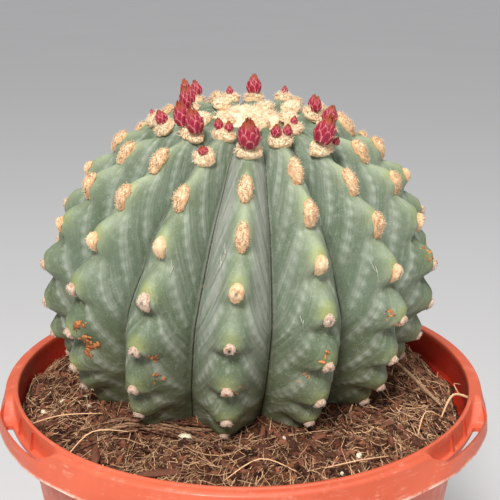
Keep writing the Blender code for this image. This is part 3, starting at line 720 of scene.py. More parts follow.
def pad_size(place, bud_reach):
    """Half width, half length and height of an areole's wool, round buds that reach so far out."""
    if bud_reach:
        return 0.0012 + max(0.0030, 0.82 * bud_reach), 0.0040, 0.0021
    if place < -13:
        return 0.0036, 0.0045, 0.0026
    if place < 18:
        return 0.0028, 0.0053, 0.0018
    if place < 32:
        return 0.0027, 0.0037, 0.0020
    return 0.0023, 0.0029, 0.0016


def pad_surface(rib, place, half_width, half_length, height, spacing, with_bud):
    """A patch that partly follows the skin and partly lies flat across the areole, like a cushion."""
    here, axes = skin_frame(rib, place)
    shift = 0.1 if with_bud else 0.8
    r0, h0 = crest_point(place - 1)
    r1, h1 = crest_point(place + 1)
    per_place = math.hypot(r1 - r0, h1 - h0) / 2
    normal = np.array(axes.col[2])

    def surface(a, b, lift):
        base = skin_points(np.full_like(a, rib), place + shift + b * half_length / per_place,
                           a * half_width / (spacing / 2))
        flat = (np.array(here) + np.outer(a * half_width, axes.col[0])
                + np.outer(b * half_length + shift * per_place, axes.col[1]))
        cushion = np.full(len(lift), 0.8) if with_bud else 0.5 * np.clip(lift / height * 1.6, 0, 1)
        cushion = cushion[:, None]
        return base * (1 - cushion) + flat * cushion + normal * lift[:, None]

    return surface


def pad_nodes():
    """The frame's pad for each rib and place that has one."""
    spots = [(rib, areole_places(rib, first, first + TURN - 1)[0])
             for first in PAD_TURNS for rib in rib_numbers()]
    return {spot: f"areole_pad_{number + 1:02d}" for number, spot in enumerate(spots)}


def build_pads(young, aged, worn):
    nodes = pad_nodes()
    extra = 0
    for rib in rib_numbers():
        for place in areole_places(rib, PAD_TURNS[0], LOWEST_AREOLE):
            bud_reach = max((abs(bud[2]) + bud[4] for bud in BUDS if bud[:2] == (rib, place)), default=0.0)
            with_bud = bud_reach > 0
            half_width, half_length, height = pad_size(place, bud_reach)
            spacing = 2 * math.pi * float(crest_point(place)[0]) / RIBS
            half_width = min(half_width, 0.48 * spacing) * rng.uniform(0.95, 1.06)
            half_length *= rng.uniform(0.9, 1.1)
            surface = pad_surface(rib, place, half_width, half_length, height, spacing, with_bud)
            node = nodes.get((rib, place))
            if node is None:
                extra += 1
            material = young if place < -13 or with_bud else worn if place >= 30 else aged
            if with_bud:
                hairs, hair_length, lumpiness, buried = 420, 0.0015, 0.16, 0.0030
            elif place < 18:
                hairs, hair_length, lumpiness, buried = 320, 0.0012, 0.22, 0.0010
            else:
                hairs, hair_length, lumpiness, buried = 130, 0.0007, 0.22, 0.0010
            wool_patch(f"wool_{node}" if node else f"wool_pad_{extra:02d}", material, surface, height,
                       hairs, hair_length, lumpiness, old=0.0 if place < 24 else 0.55 if place < 38 else 1.0,
                       buried=buried, nodes=[node] if node else ())


def cap_surface(centre, side, other, axis, size, offset):
    """A flat patch across the crown, offset along its axis."""
    def surface(a, b, lift):
        flat = np.outer(a * size, side) + np.outer(b * size, other)
        return np.array(centre) + flat + np.outer(lift + offset, axis)

    return surface


def build_crown_wool(material):
    """The pale felt in the middle of the crown, with the youngest areoles as lumps in it."""
    centre = Vector(skin_points([0], [FIRST_PLACE], [0])[0])
    axis = (centre - Vector(plant_transform(np.zeros((1, 3)))[0])).normalized()
    side = axis.orthogonal().normalized()
    other = axis.cross(side)
    wool_patch("wool_crown", material, cap_surface(centre, side, other, axis, 0.0152, 0.0008),
               0.0034, 1300, 0.0017, 0.34, nodes=["crown_wool"])
    for number, rib in enumerate(rib_numbers()):
        place = areole_places(rib, -38, -26)[0]
        here, _ = skin_frame(rib, place, reach=1.0)
        size = 0.0028 + 0.0010 * smooth_step((place + 38) / 12)
        wool_patch(f"wool_hump_{number + 1:02d}", material,
                   cap_surface(here, side, other, axis, size, 0.0006), 0.0030, 260, 0.0014, 0.18, old=0.35)


# ================================================================ buds
def bud_profile(share):
    """Radius of a bud along its height, as a part of its widest."""
    return np.interp(share, (0.0, 0.12, 0.27, 0.40, 0.54, 0.68, 0.82, 0.93, 1.0),
                     (0.62, 0.87, 1.0, 0.98, 0.85, 0.62, 0.35, 0.15, 0.03))


def bud_core(radius, height):
    """The smooth body under the scales."""
    rings, sides = 10, 20
    points = [(0.0, 0.0, 0.0)]
    for i in range(1, rings):
        share = i / rings
        r = radius * BUD_CORE * float(bud_profile(share))
        points += [(r * math.cos(2 * math.pi * j / sides), r * math.sin(2 * math.pi * j / sides),
                    height * 0.95 * share) for j in range(sides)]
    points.append((0.0, 0.0, height * 0.95))
    faces = [(0, 1 + (j + 1) % sides, 1 + j) for j in range(sides)]
    for i in range(rings - 2):
        faces += ring_faces(1 + i * sides, 1 + (i + 1) * sides, sides)
    top = len(points) - 1
    faces += [(top - sides + j, top - sides + (j + 1) % sides, top) for j in range(sides)]
    return points, faces


def bud_scale(radius, height, rise, turn_angle, length):
    """One pointed scale that starts at rise: its points, and how near each is to its margin and to brown."""
    spread = (0.58 - 0.20 * rise) * (1.0 if radius > 0.0025 else 1.25)
    flare = (0.07 + 0.09 * (1 - rise)) * radius
    points, edges, tips = [], [], []
    for layer in (0, 1):
        for v in range(SCALE_ALONG + 1):
            t = v / SCALE_ALONG
            half = spread * (1 - t ** 2.4) ** 0.75
            for u in range(SCALE_ACROSS + 1):
                s = 2 * u / SCALE_ACROSS - 1
                share = min(rise + length * t, 1.0)
                r = BUD_CORE * radius * float(bud_profile(min(share, 0.985)))
                r += flare * t ** 2 + radius * 0.085 * (1 - s * s) + 0.00005
                r -= layer * 0.00014
                r = max(r, 0.00012)
                angle = turn_angle + s * half
                extra = height * 0.05 * max(rise + length * t - 1.0, 0.0)
                points.append((r * math.cos(angle), r * math.sin(angle), height * share + extra))
                edges.append(max(abs(s) ** 2, t ** 5))
                tips.append(min(float(smooth_step((share - 0.62) / 0.3)) + 0.6 * t ** 8, 1.0))
    return points, edges, tips


def scale_faces():
    """The outer and inner sheets of a scale, and the strip round its border."""
    row = SCALE_ACROSS + 1
    sheet = row * (SCALE_ALONG + 1)
    faces = []
    for v in range(SCALE_ALONG):
        for u in range(SCALE_ACROSS):
            a = v * row + u
            faces.append((a, a + 1, a + row + 1, a + row))
            faces.append((sheet + a, sheet + a + row, sheet + a + row + 1, sheet + a + 1))
    border = [v * row for v in range(SCALE_ALONG + 1)]
    border += [SCALE_ALONG * row + u for u in range(1, row)]
    border += [v * row + SCALE_ACROSS for v in range(SCALE_ALONG - 1, -1, -1)]
    border += list(range(SCALE_ACROSS - 1, 0, -1))
    faces += [(b, a, sheet + a, sheet + b) for a, b in zip(border, border[1:] + border[:1])]
    return [tuple(reversed(f)) for f in faces]


def build_bud(number, bud, material):
    """A core wrapped in a spiral of scales, each over the foot of the ones above it."""
    rib, place, across, along, radius, height = bud
    here, axes = skin_frame(rib, place)
    axis = (axes.col[2] * 0.55 + Vector((0, 0, 1)) * 0.45).normalized()
    turn = axis.to_track_quat("Z", "Y").to_matrix()
    foot = here + axes.col[0] * across + axes.col[1] * along + axis * BUD_LIFT
    points, faces = bud_core(radius, height)
    edge, tip = [0.2] * len(points), [0.0] * len(points)
    scales = max(10, int(11 + radius * 3800))
    for k in range(scales):
        rise = (k / scales) ** 0.9 * 0.80
        turn_angle = k * SCALE_TURN + rng.uniform(-0.12, 0.12)
        length = (0.40 - 0.12 * rise) * rng.uniform(0.92, 1.08)
        leaf, edges, tips = bud_scale(radius, height, rise, turn_angle, length)
        faces += [[len(points) + i for i in f] for f in scale_faces()]
        points += leaf
        edge += edges
        tip += tips
    vertices = [foot + turn @ Vector(p) for p in points]
    ob = mesh_object(f"scaled_bud_{number:02d}", vertices, faces, material,
                     attributes={"edge": edge, "tip": tip})
    return finish_piece(ob, "bud_scales", f"flower_bud_{number:02d}")


# ================================================================ the pot
def wall_radius(height):
    """Outer radius of the tapered wall."""
    return BASE_RADIUS + (NECK_RADIUS - SHOULDER_STEP - BASE_RADIUS) * (height / WALL_TOP)


def handle_weights(azimuth):
    """How much of a scoop and of a bar's bulge there is at an azimuth, each from 0 to 1."""
    off = min(abs((azimuth - middle + 180.0) % 360.0 - 180.0) for middle in HANDLE_AZIMUTHS)
    scoop = float(smooth_step((SCOOP_HALF_ANGLE - off) / SCOOP_END_ANGLE))
    bulge = float(smooth_step((BAR_HALF_ANGLE - off) / (BAR_HALF_ANGLE - SLOT_HALF_ANGLE)))
    return scoop, bulge


def pot_section(azimuth):
    """The frame's section with rounder edges: radius, height, wear, flash and the inside's painted shade and
    dust for each point.
    """
    scoop, bulge = handle_weights(azimuth)
    rim, neck, floor = RIM_TOP, NECK_RADIUS, FLOOR_TOP
    inner = RIM_INNER_RADIUS
    edge = inner + RIM_WIDTH
    lip = edge + SKIRT_FLARE + BAR_BULGE * bulge
    scoop_floor = rim - SCOOP_DEPTH
    under = scoop_floor - SCOOP_FLOOR
    foot = rim - SKIRT_DEPTH
    bar_inner = neck + LEDGE_WIDTH + SLOT_WIDTH
    bar_top = rim - BAR_TOP_DEPTH
    inside = [
        (wall_radius(floor) - WALL - 0.004, floor),
        (wall_radius(floor) - WALL - 0.001, floor + 0.001),
        (wall_radius(floor) - WALL, floor + 0.004),
        (wall_radius(WALL_TOP) - WALL, WALL_TOP + 0.001),
        (inner - 0.0003, SHOULDER + 0.0006),
        (inner, SHOULDER + 0.0018),
        (inner, rim - 0.0030),
        (inner, rim - 0.0010),
        (inner + 0.00015, rim - 0.0004),
        (inner + 0.0005, rim - 0.0001),
        (inner + 0.0009, rim),
        (inner + RIM_BAND - 0.0004, rim),
        (inner + RIM_BAND, rim - 0.0002),
    ]
    pairs = (
        ((neck + 0.0003, rim - 0.0004), (neck + 0.0001, scoop_floor + 0.0040)),
        ((neck + 0.0009, rim - 0.0004), (neck + 0.0003, scoop_floor + 0.0008)),
        ((neck + 0.0014, rim - 0.0004), (neck + 0.0006, scoop_floor + 0.0002)),
        ((neck + 0.0022, rim - 0.0005), (neck + 0.0011, scoop_floor)),
        ((edge - 0.0008, rim - 0.0008), (bar_inner + 0.0002, scoop_floor)),
        ((edge - 0.0004, rim - 0.0011), (bar_inner + 0.0005, scoop_floor + 0.0006)),
        ((edge - 0.0002, rim - 0.0014), (bar_inner + 0.0006, bar_top - 0.0012)),
        ((edge - 0.0001, rim - 0.0018), (bar_inner + 0.0009, bar_top - 0.0003)),
        ((edge, rim - 0.0024), (bar_inner + 0.0014, bar_top)),
        ((edge + 0.10 * SKIRT_FLARE, rim - 0.0034), (lip - 0.0006, bar_top - 0.0004)),
        ((edge + 0.28 * SKIRT_FLARE, rim - 0.0050), (lip - 0.0002, bar_top - 0.0014)),
        ((edge + 0.60 * SKIRT_FLARE, rim - 0.0080), (lip - 0.0001, bar_top - 0.0036)),
        ((lip - 0.0002, foot + 0.0014), (lip, foot + 0.0014)),
        ((lip, foot + 0.0004), (lip + 0.0001, foot + 0.0004)),
        ((lip, foot), (lip, foot)),
        ((lip - 0.0006, foot - 0.0005), (lip - 0.0006, foot - 0.0005)),
        ((lip - SKIRT_WALL, foot), (lip - SKIRT_WALL, foot)),
        ((edge - SKIRT_WALL, rim - TOP_WALL - 0.0012), (bar_inner + 0.0006, under)),
        ((neck + 0.0006, rim - TOP_WALL), (neck + 0.0006, under)),
        ((neck, rim - TOP_WALL - 0.0006), (neck, under - 0.0006)),
    )
    skirt = [(a[0] + (b[0] - a[0]) * scoop, a[1] + (b[1] - a[1]) * scoop) for a, b in pairs]
    outside = [
        (neck, SHOULDER + 0.0004),
        (neck - 0.0005, SHOULDER - 0.0004),
        (wall_radius(WALL_TOP) + 0.0003, WALL_TOP + 0.0004),
        (wall_radius(WALL_TOP - 0.0015), WALL_TOP - 0.0015),
        (wall_radius(WALL_TOP * 0.66), WALL_TOP * 0.66),
        (wall_radius(WALL_TOP * 0.33), WALL_TOP * 0.33),
        (wall_radius(0.003), 0.0030),
        (wall_radius(0.001) - 0.0003, 0.0010),
        (BASE_RADIUS - 0.0012, 0.0),
        (BASE_RADIUS - FOOT_WIDTH, 0.0),
        (BASE_RADIUS - FOOT_WIDTH - 0.001, FOOT_HEIGHT),
    ]
    worn = [0.3] * len(inside) + [1.0] * len(skirt) + [0.5] * len(outside)
    flash = [0.0] * (len(inside) + 13) + [1.0, 1.0, 0.7] + [0.0] * (len(skirt) - 16 + len(outside))
    # the inside's painted shade and dust, from the floor up to just under the rim
    inside_shade_and_dust = [1.0] * 7 + [0.3] + [0.0] * (len(inside) - 8 + len(skirt) + len(outside))
    return inside + skirt + outside, worn, flash, inside_shade_and_dust


def build_pot(material):
    vertices, worn, flash, inside_shade_and_dust = [], [], [], []
    for column in range(POT_COLUMNS):
        azimuth = 360.0 * (column + 0.37) / POT_COLUMNS
        points, w, f, i = pot_section(azimuth)
        # moulded rims are never quite true
        ripple = (0.00022 * math.sin(math.radians(azimuth * 3 + 40))
                  + 0.00012 * math.sin(math.radians(azimuth * 7)))
        for (radius, height), is_flash in zip(points, f):
            burr = 0.00030 * is_flash * max(lumps(polar(3.0, azimuth) + (height,), 3.5), 0.0)
            vertices.append((*polar(radius + ripple * min(height / RIM_TOP, 1.0) + burr, azimuth), height))
        worn += w
        flash += f
        inside_shade_and_dust += i
    rows = len(points)
    vertices += [(0.0, 0.0, FLOOR_TOP), (0.0, 0.0, FOOT_HEIGHT)]
    worn += [0.0, 0.0]
    flash += [0.0, 0.0]
    inside_shade_and_dust += [1.0, 0.0]
    floor, underside = len(vertices) - 2, len(vertices) - 1
    faces = []
    for column in range(POT_COLUMNS):
        a, b = column * rows, ((column + 1) % POT_COLUMNS) * rows
        faces.append((floor, a, b))
        faces += [(a + i, a + i + 1, b + i + 1, b + i) for i in range(rows - 1)]
        faces.append((underside, b + rows - 1, a + rows - 1))
    pot = mesh_object("pot_shell", vertices, faces, material,
                      attributes={"worn": worn, "flash": flash, "inside": inside_shade_and_dust})
    bm = bmesh.new()
    bm.from_mesh(pot.data)
    bmesh.ops.recalc_face_normals(bm, faces=bm.faces)
    bm.to_mesh(pot.data)
    bm.free()
    cutters = []
    for middle in HANDLE_AZIMUTHS:
        cutters.append((slot_cutter(middle), "DIFFERENCE"))
        for sign in (-1, 1):
            cutters.append((gusset(middle + sign * GUSSET_ANGLE), "UNION"))
    for i in range(DRAIN_HOLES):
        cutters.append((drain_cutter(360.0 * (i + 0.5) / DRAIN_HOLES), "DIFFERENCE"))
    for cutter, operation in cutters:
        cut = pot.modifiers.new(cutter.name, "BOOLEAN")
        cut.operation = operation
        cut.object = cutter
    apply_modifiers(pot)
    for cutter, _ in cutters:
        bpy.data.objects.remove(cutter, do_unlink=True)
    pot.data.shade_smooth()
    pot.data.set_sharp_from_angle(angle=math.radians(42))
    return finish_piece(pot, "pot_plastic", "pot")


def apply_modifiers(ob):
    """Keep the mesh as its modifiers leave it."""
    bpy.context.view_layer.update()
    evaluated = ob.evaluated_get(bpy.context.evaluated_depsgraph_get())
    mesh = bpy.data.meshes.new_from_object(evaluated)
    ob.modifiers.clear()
    ob.data = mesh


def cutter_object(name, bm):
    bmesh.ops.recalc_face_normals(bm, faces=bm.faces)
    mesh = bpy.data.meshes.new(name)
    bm.to_mesh(mesh)
    bm.free()
    ob = bpy.data.objects.new(name, mesh)
    bpy.context.scene.collection.objects.link(ob)
    return ob


def slot_cutter(middle):
    """A slot that follows the rim, with round ends, right through the scoop's floor."""
    inner = NECK_RADIUS + LEDGE_WIDTH
    outer = inner + SLOT_WIDTH
    radius, centre_radius = (outer - inner) / 2, (inner + outer) / 2
    inset = math.degrees(radius / centre_radius)
    half = SLOT_HALF_ANGLE - inset
    outline = [polar(outer, middle - half + 2 * half * i / 16) for i in range(17)]
    for end, sign in ((middle + half, 1), (middle - half, -1)):
        centre, across = Vector(polar(centre_radius, end)), Vector(polar(1.0, end))
        along = Vector(polar(1.0, end + 90.0))
        for i in range(1, 9):
            angle = math.pi * i / 9
            bend = (across * math.cos(angle) + along * math.sin(angle)) * radius * sign
            outline.append(tuple(centre + bend))
        if sign == 1:
            outline += [polar(inner, middle + half - 2 * half * i / 16) for i in range(17)]
    bm = bmesh.new()
    low = RIM_TOP - SCOOP_DEPTH - SCOOP_FLOOR - 0.005
    face = bm.faces.new([bm.verts.new((x, y, low)) for x, y in outline])
    top = bmesh.ops.extrude_face_region(bm, geom=[face])["geom"]
    bmesh.ops.translate(bm, vec=(0, 0, 0.0115), verts=[g for g in top if isinstance(g, bmesh.types.BMVert)])
    return cutter_object(f"slot_cutter_{int(middle)}", bm)


def gusset(azimuth):
    """A thin web between the neck and the scoop's floor."""
    neck = NECK_RADIUS
    top = RIM_TOP - 0.0012
    floor = RIM_TOP - SCOOP_DEPTH - SCOOP_FLOOR / 2
    triangle = [(neck - 0.001, top), (neck + 0.0003, top), (neck + 0.0019, floor), (neck - 0.001, floor)]
    bm = bmesh.new()
    turn = Matrix.Rotation(math.radians(azimuth), 3, "Z")
    half = GUSSET_THICKNESS / 2
    face = bm.faces.new([bm.verts.new(turn @ Vector((-half, -r, z))) for r, z in triangle])
    moved = bmesh.ops.extrude_face_region(bm, geom=[face])["geom"]
    bmesh.ops.translate(bm, vec=turn @ Vector((2 * half, 0, 0)),
                        verts=[g for g in moved if isinstance(g, bmesh.types.BMVert)])
    return cutter_object(f"gusset_{int(azimuth * 10)}", bm)


def drain_cutter(azimuth):
    bm = bmesh.new()
    x, y = polar(DRAIN_CIRCLE_RADIUS, azimuth)
    bmesh.ops.create_cone(bm, cap_ends=True, segments=24, radius1=DRAIN_RADIUS, radius2=DRAIN_RADIUS,
                          depth=4 * BASE_THICKNESS,
                          matrix=Matrix.Translation((x, y, FOOT_HEIGHT + BASE_THICKNESS / 2)))
    return cutter_object(f"drain_cutter_{int(azimuth)}", bm)


# ================================================================ the soil
def soil_height(x, y):
    """Height of the soil's uneven top."""
    share = math.hypot(x, y) / SOIL_RADIUS
    height = SOIL_LEVEL + SOIL_MOUND * (1 - min(share, 1.0) ** 3)
    point = (x, y, 0.0)
    height += 0.0022 * lumps(point, 60.0) + 0.0015 * lumps(point, 170.0, 4.0)
    azimuth = math.degrees(math.atan2(x, -y))
    height -= SUNK_DEPTH * math.exp(-((azimuth - SUNK_AZIMUTH) / SUNK_SPREAD) ** 2) * min(share, 1.0) ** 3
    return height + 0.0008 * lumps(point, 480.0, 9.0)


def soil_room(height):
    """Radius of the soil where it meets the pot's wall at a height."""
    wall_top = WALL_TOP + 0.001
    inside = [wall_radius(h) - WALL - SOIL_GAP for h in (0.0, wall_top)]
    return float(np.interp(height, (0.0, wall_top, SHOULDER + 0.0012), (*inside, SOIL_RADIUS)))


def off_wall(x, y, gap):
    """The same spot, moved in where something this big on the soil would touch the wall."""
    reach = math.hypot(x, y)
    room = soil_room(soil_height(x, y) - gap) - gap
    return (x * room / reach, y * room / reach) if reach > room else (x, y)


def build_soil(material):
    vertices = []
    sectors = [360.0 * sector / SOIL_SECTORS for sector in range(SOIL_SECTORS)]
    reach = []
    for azimuth in sectors:
        radius = SOIL_RADIUS
        for _ in range(3):
            radius = min(radius, soil_room(soil_height(*polar(radius, azimuth)) - 0.0008))
        reach.append(radius)
    for ring in range(SOIL_RINGS):
        share = (1 - (ring / SOIL_RINGS)) ** 0.62
        for azimuth, radius in zip(sectors, reach):
            x, y = polar(radius * share, azimuth)
            z = soil_height(x, y) + 0.00035 * lumps((x, y, 0.0), 1100.0, 2.0)
            vertices.append((x, y, z))
    vertices.append((0.0, 0.0, soil_height(0.0, 0.0)))
    edge = [vertices[sector][2] for sector in range(SOIL_SECTORS)]
    floor = FLOOR_TOP + 0.0003
    wall_top = WALL_TOP + 0.001
    lower = ((SOIL_RADIUS, SHOULDER + 0.0012), (wall_radius(wall_top) - WALL - SOIL_GAP, wall_top),
             (wall_radius(floor) - WALL - SOIL_GAP, floor + 0.0045),
             (wall_radius(floor) - WALL - 0.0046, floor))
    start = len(vertices)
    for number, (radius, height) in enumerate(lower):
        for azimuth, top in zip(sectors, edge):
            low = min(height, top - 0.0005 * (number + 1))
            vertices.append((*polar(min(radius, soil_room(low)), azimuth), low))
    vertices.append((0.0, 0.0, floor))
    faces = []
    n = SOIL_SECTORS
    for ring in range(SOIL_RINGS - 1):
        faces += ring_faces(ring * n, (ring + 1) * n, n)
    inner = (SOIL_RINGS - 1) * n
    faces += [(inner + s, inner + (s + 1) % n, start - 1) for s in range(n)]
    loops = [0] + [start + i * n for i in range(len(lower))]
    for a, b in zip(loops, loops[1:]):
        faces += [(a + (s + 1) % n, a + s, b + s, b + (s + 1) % n) for s in range(n)]
    faces += [(loops[-1] + (s + 1) % n, loops[-1] + s, len(vertices) - 1) for s in range(n)]
    ob = mesh_object("soil_body", vertices, faces, material)
    return finish_piece(ob, "coir_soil", "soil")


def tubes(name, paths, radii, tones, material, slot, sides):
    """Many thin tapering tubes as one piece."""
    vertices, faces, tone = [], [], []
    for path, radius, shade in zip(paths, radii, tones):
        base, count = len(vertices), len(path)
        normal = (path[1] - path[0]).orthogonal().normalized()
        for i, point in enumerate(path):
            ahead = (path[min(i + 1, count - 1)] - path[max(i - 1, 0)]).normalized()
            normal = (normal - ahead * normal.dot(ahead)).normalized()
            other = ahead.cross(normal)
            taper = 1.0 - 0.55 * abs(2 * i / (count - 1) - 1) ** 3
            for s in range(sides):
                angle = 2 * math.pi * s / sides
                vertices.append(point + (normal * math.cos(angle) + other * math.sin(angle)) * radius * taper)
        for i in range(count - 1):
            faces += ring_faces(base + i * sides, base + (i + 1) * sides, sides)
        faces.append(tuple(base + s for s in reversed(range(sides))))
        faces.append(tuple(base + (count - 1) * sides + s for s in range(sides)))
        tone += [shade] * (count * sides)
    ob = mesh_object(name, vertices, faces, material, attributes={"tone": tone})
    return finish_piece(ob, slot)


def bare_spot(margin):
    """A random place on the soil, clear of the plant."""
    while True:
        radius = SOIL_RADIUS * math.sqrt(rng.uniform(0.35, 0.975))
        x, y = polar(radius, rng.uniform(0, 360))
        if math.hypot(x - PLANT_FOOT[0], y - PLANT_FOOT[1]) > PLANT_FOOT_RADIUS + margin:
            return x, y


def fibre_path(x, y, heading, length, rise, curl):
    """A fibre that lies on the soil in a loose arc, with its ends lifted a little."""
    path = []
    points = 7
    step = length / (points - 1)
    for i in range(points):
        t = 2 * i / (points - 1) - 1
        x, y = off_wall(x, y, 0.0012)
        path.append(Vector((x, y, soil_height(x, y) + 0.0004 + rise * t * t)))
        x += step * math.cos(heading)
        y += step * math.sin(heading)
        heading += curl * step + rng.gauss(0, 0.22)
    return path


def build_fibres(material):
    """Coir fibres and dark roots that lie criss-cross over the soil."""
    for name, count, lengths, radii, tones, rise in (
            ("coir_fine_fibres", 1500, (0.004, 0.016), (0.00009, 0.00019), (0.10, 1.0), 0.0022),
            ("coir_long_fibres", 300, (0.012, 0.036), (0.00014, 0.00027), (0.25, 1.0), 0.0042),
            ("coir_dark_roots", 420, (0.006, 0.024), (0.00018, 0.00045), (0.0, 0.22), 0.0018)):
        paths, sizes, shades = [], [], []
        for _ in range(count):
            x, y = bare_spot(0.002)
            path = fibre_path(x, y, rng.uniform(0, 2 * math.pi), rng.uniform(*lengths),
                              rng.uniform(-0.0004, rise), rng.gauss(0, 60))
            paths.append([p + Vector((0, 0, rng.uniform(-0.0003, 0.0004))) for p in path])
            sizes.append(rng.uniform(*radii))
            shades.append(tones[0] + (tones[1] - tones[0]) * rng.random() ** 1.6)
        tubes(name, paths, sizes, shades, material, "coir_soil", sides=4)


def uneven_ball(ball, stretch, roughness, scale, seed):
    """The points of a ball stretched along its axes and made uneven."""
    grown = (Vector(p) * (1 + roughness * lumps(p, scale, seed)) for p in ball)
    return [Vector((q.x * stretch[0], q.y * stretch[1], q.z * stretch[2])) for q in grown]


def build_crumbs(material, chips, perlite):
    """Crumbs of soil, chips of bark and grains of perlite, strewn over the soil."""
    ball, ball_faces = SMALL_BALL
    for name, count, low, high, flat, look, tones in (
            ("soil_crumbs", 2600, 0.0005, 0.0016, 0.75, material, (0.0, 1.0)),
            ("bark_chips", 170, 0.0013, 0.0034, 0.35, chips, (0.0, 1.0)),
            ("perlite_grains", 26, 0.0006, 0.0014, 0.85, perlite, (0.5, 1.0))):
        vertices, faces, tone = [], [], []
        for _ in range(count):
            x, y = bare_spot(0.0)
            size = low + (high - low) * rng.random() ** 2
            spin = Matrix.Rotation(rng.uniform(0, 6.28), 3, random_unit())
            stretch = (rng.uniform(0.8, 1.7), rng.uniform(0.6, 1.0), flat)
            x, y = off_wall(x, y, 1.6 * size)
            centre = Vector((x, y, soil_height(x, y) + size * 0.35 * flat))
            seed = rng.uniform(0, 90)
            faces += [[len(vertices) + i for i in f] for f in ball_faces]
            vertices += [centre + spin @ (p * size) for p in uneven_ball(ball, stretch, 0.35, 1.9, seed)]
            tone += [rng.uniform(*tones)] * len(ball)
        ob = mesh_object(name, vertices, faces, look, smooth=False, attributes={"tone": tone})
        finish_piece(ob, "coir_soil")


def laid(points, lift):
    """A smooth run over the soil through (x, y, height above it) points in millimetres."""
    knots = [Vector((x / 1000, y / 1000, soil_height(x / 1000, y / 1000) + z / 1000 + lift))
             for x, y, z in points]
    path = []
    for i in range(len(knots) - 1):
        before, start, end, after = (knots[max(i - 1, 0)], knots[i], knots[i + 1],
                                     knots[min(i + 2, len(knots) - 1)])
        path += [spline(before, start, end, after, step / 5) for step in range(5)]
    return path + [knots[-1]]


def lump(name, x, y, size, spin, material, lift, roughness):
    """A stone or chip: a ball with uneven sides, size in millimetres along x, y and z."""
    ball, ball_faces = PAD_BALL
    seed = x + 2 * y
    turn = Matrix.Rotation(math.radians(spin), 3, "Z")
    foot = Vector((x / 1000, y / 1000, soil_height(x / 1000, y / 1000) + lift * size[2] / 1000))
    vertices = []
    for p in ball:
        grown = Vector(p) * (1 + roughness * lumps(p, 1.6, seed) + 0.3 * roughness * lumps(p, 5.0, seed))
        vertices.append(foot + turn @ Vector([grown[i] * size[i] / 2000 for i in range(3)]))
    ob = mesh_object(name, vertices, ball_faces, material, attributes={"tone": [0.6] * len(vertices)})
    return finish_piece(ob, "coir_soil")


def build_loose_things(fibre, bark, perlite):
    """The larger bits on the soil: a bark stick, a bundle of roots, straws, a twig and stones."""
    straws = (
        ((-98, -26, 0.5), (-90, -38, 2.5), (-79, -52, 1.0)),
        ((-93, -36, 1.0), (-76, -41, 3.0), (-58, -43, 1.5)),
        ((-70, -66, 1.0), (-60, -58, 3.5), (-44, -57, 1.0)),
        ((30, -80, 1.0), (44, -76, 4.0), (58, -66, 1.0)),
        ((70, -52, 1.0), (76, -38, 5.0), (86, -30, 1.5)),
        ((-8, -86, 1.0), (6, -80, 3.0), (20, -82, 1.0)),
        ((-60, -30, 1.0), (-66, -34, 9.0), (-68, -36, 15.0)),
    )
    tubes("pale_straws", [laid(run, 0.0004) for run in straws], [0.00026] * len(straws),
          [0.85 + 0.15 * rng.random() for _ in straws], fibre, "coir_soil", sides=7)
    bundle = []
    for _ in range(30):
        sway, bow = rng.gauss(0, 2.4), rng.gauss(0, 1.6)
        bundle.append(laid(((-64 + rng.uniform(-10, 10), -55 + sway * 1.9, 0.6 + rng.random()),
                            (-47, -53 + sway * 0.8 + bow, 1.2 + rng.uniform(-0.8, 1.6)),
                            (-28 + rng.uniform(-4, 4), -57 + sway * 0.7 - bow, 1.2 + rng.uniform(-0.8, 1.6)),
                            (-8 + rng.uniform(-18, 8), -64 + sway * 2.0, 0.6 + rng.random())), 0.0003))
    tubes("root_bundle", bundle, [rng.uniform(0.00020, 0.00042) for _ in bundle],
          [0.02 + 0.42 * rng.random() ** 2 for _ in bundle], fibre, "coir_soil", sides=6)
    twigs = (
        ((62, 8, 7.0), (72, -2, 6.5), (80, -10, 4.0), (86, -22, 2.5)),
        ((62, 8, 7.0), (56, 4, 4.0), (60, -2, 2.0)),
        ((84, -32, 2.0), (91, -22, 10.5), (100, -23, 13.0), (103.5, -21, 12.6)),
        ((95, -20, 11.0), (93, -14, 12.5), (97, -10, 13.5)),
    )
    tubes("twigs", [laid(run, 0.0004) for run in twigs], [0.0010, 0.0008, 0.0006, 0.0003],
          [0.35, 0.45, 0.75, 0.6], fibre, "coir_soil", sides=8)
    lump("bark_stick", -57.5, -68.0, (3.6, 17.0, 3.4), 8, bark, 0.45, 0.16)
    lump("bark_flake", -31.0, -80.5, (19.0, 4.6, 2.2), 7, bark, 0.5, 0.25)
    lump("perlite_lump", -23.0, -62.5, (5.6, 3.8, 3.4), -8, perlite, 0.6, 0.2)
    lump("vermiculite_flake", 87.5, -38.0, (3.8, 3.6, 2.6), 20, perlite, 0.5, 0.25)


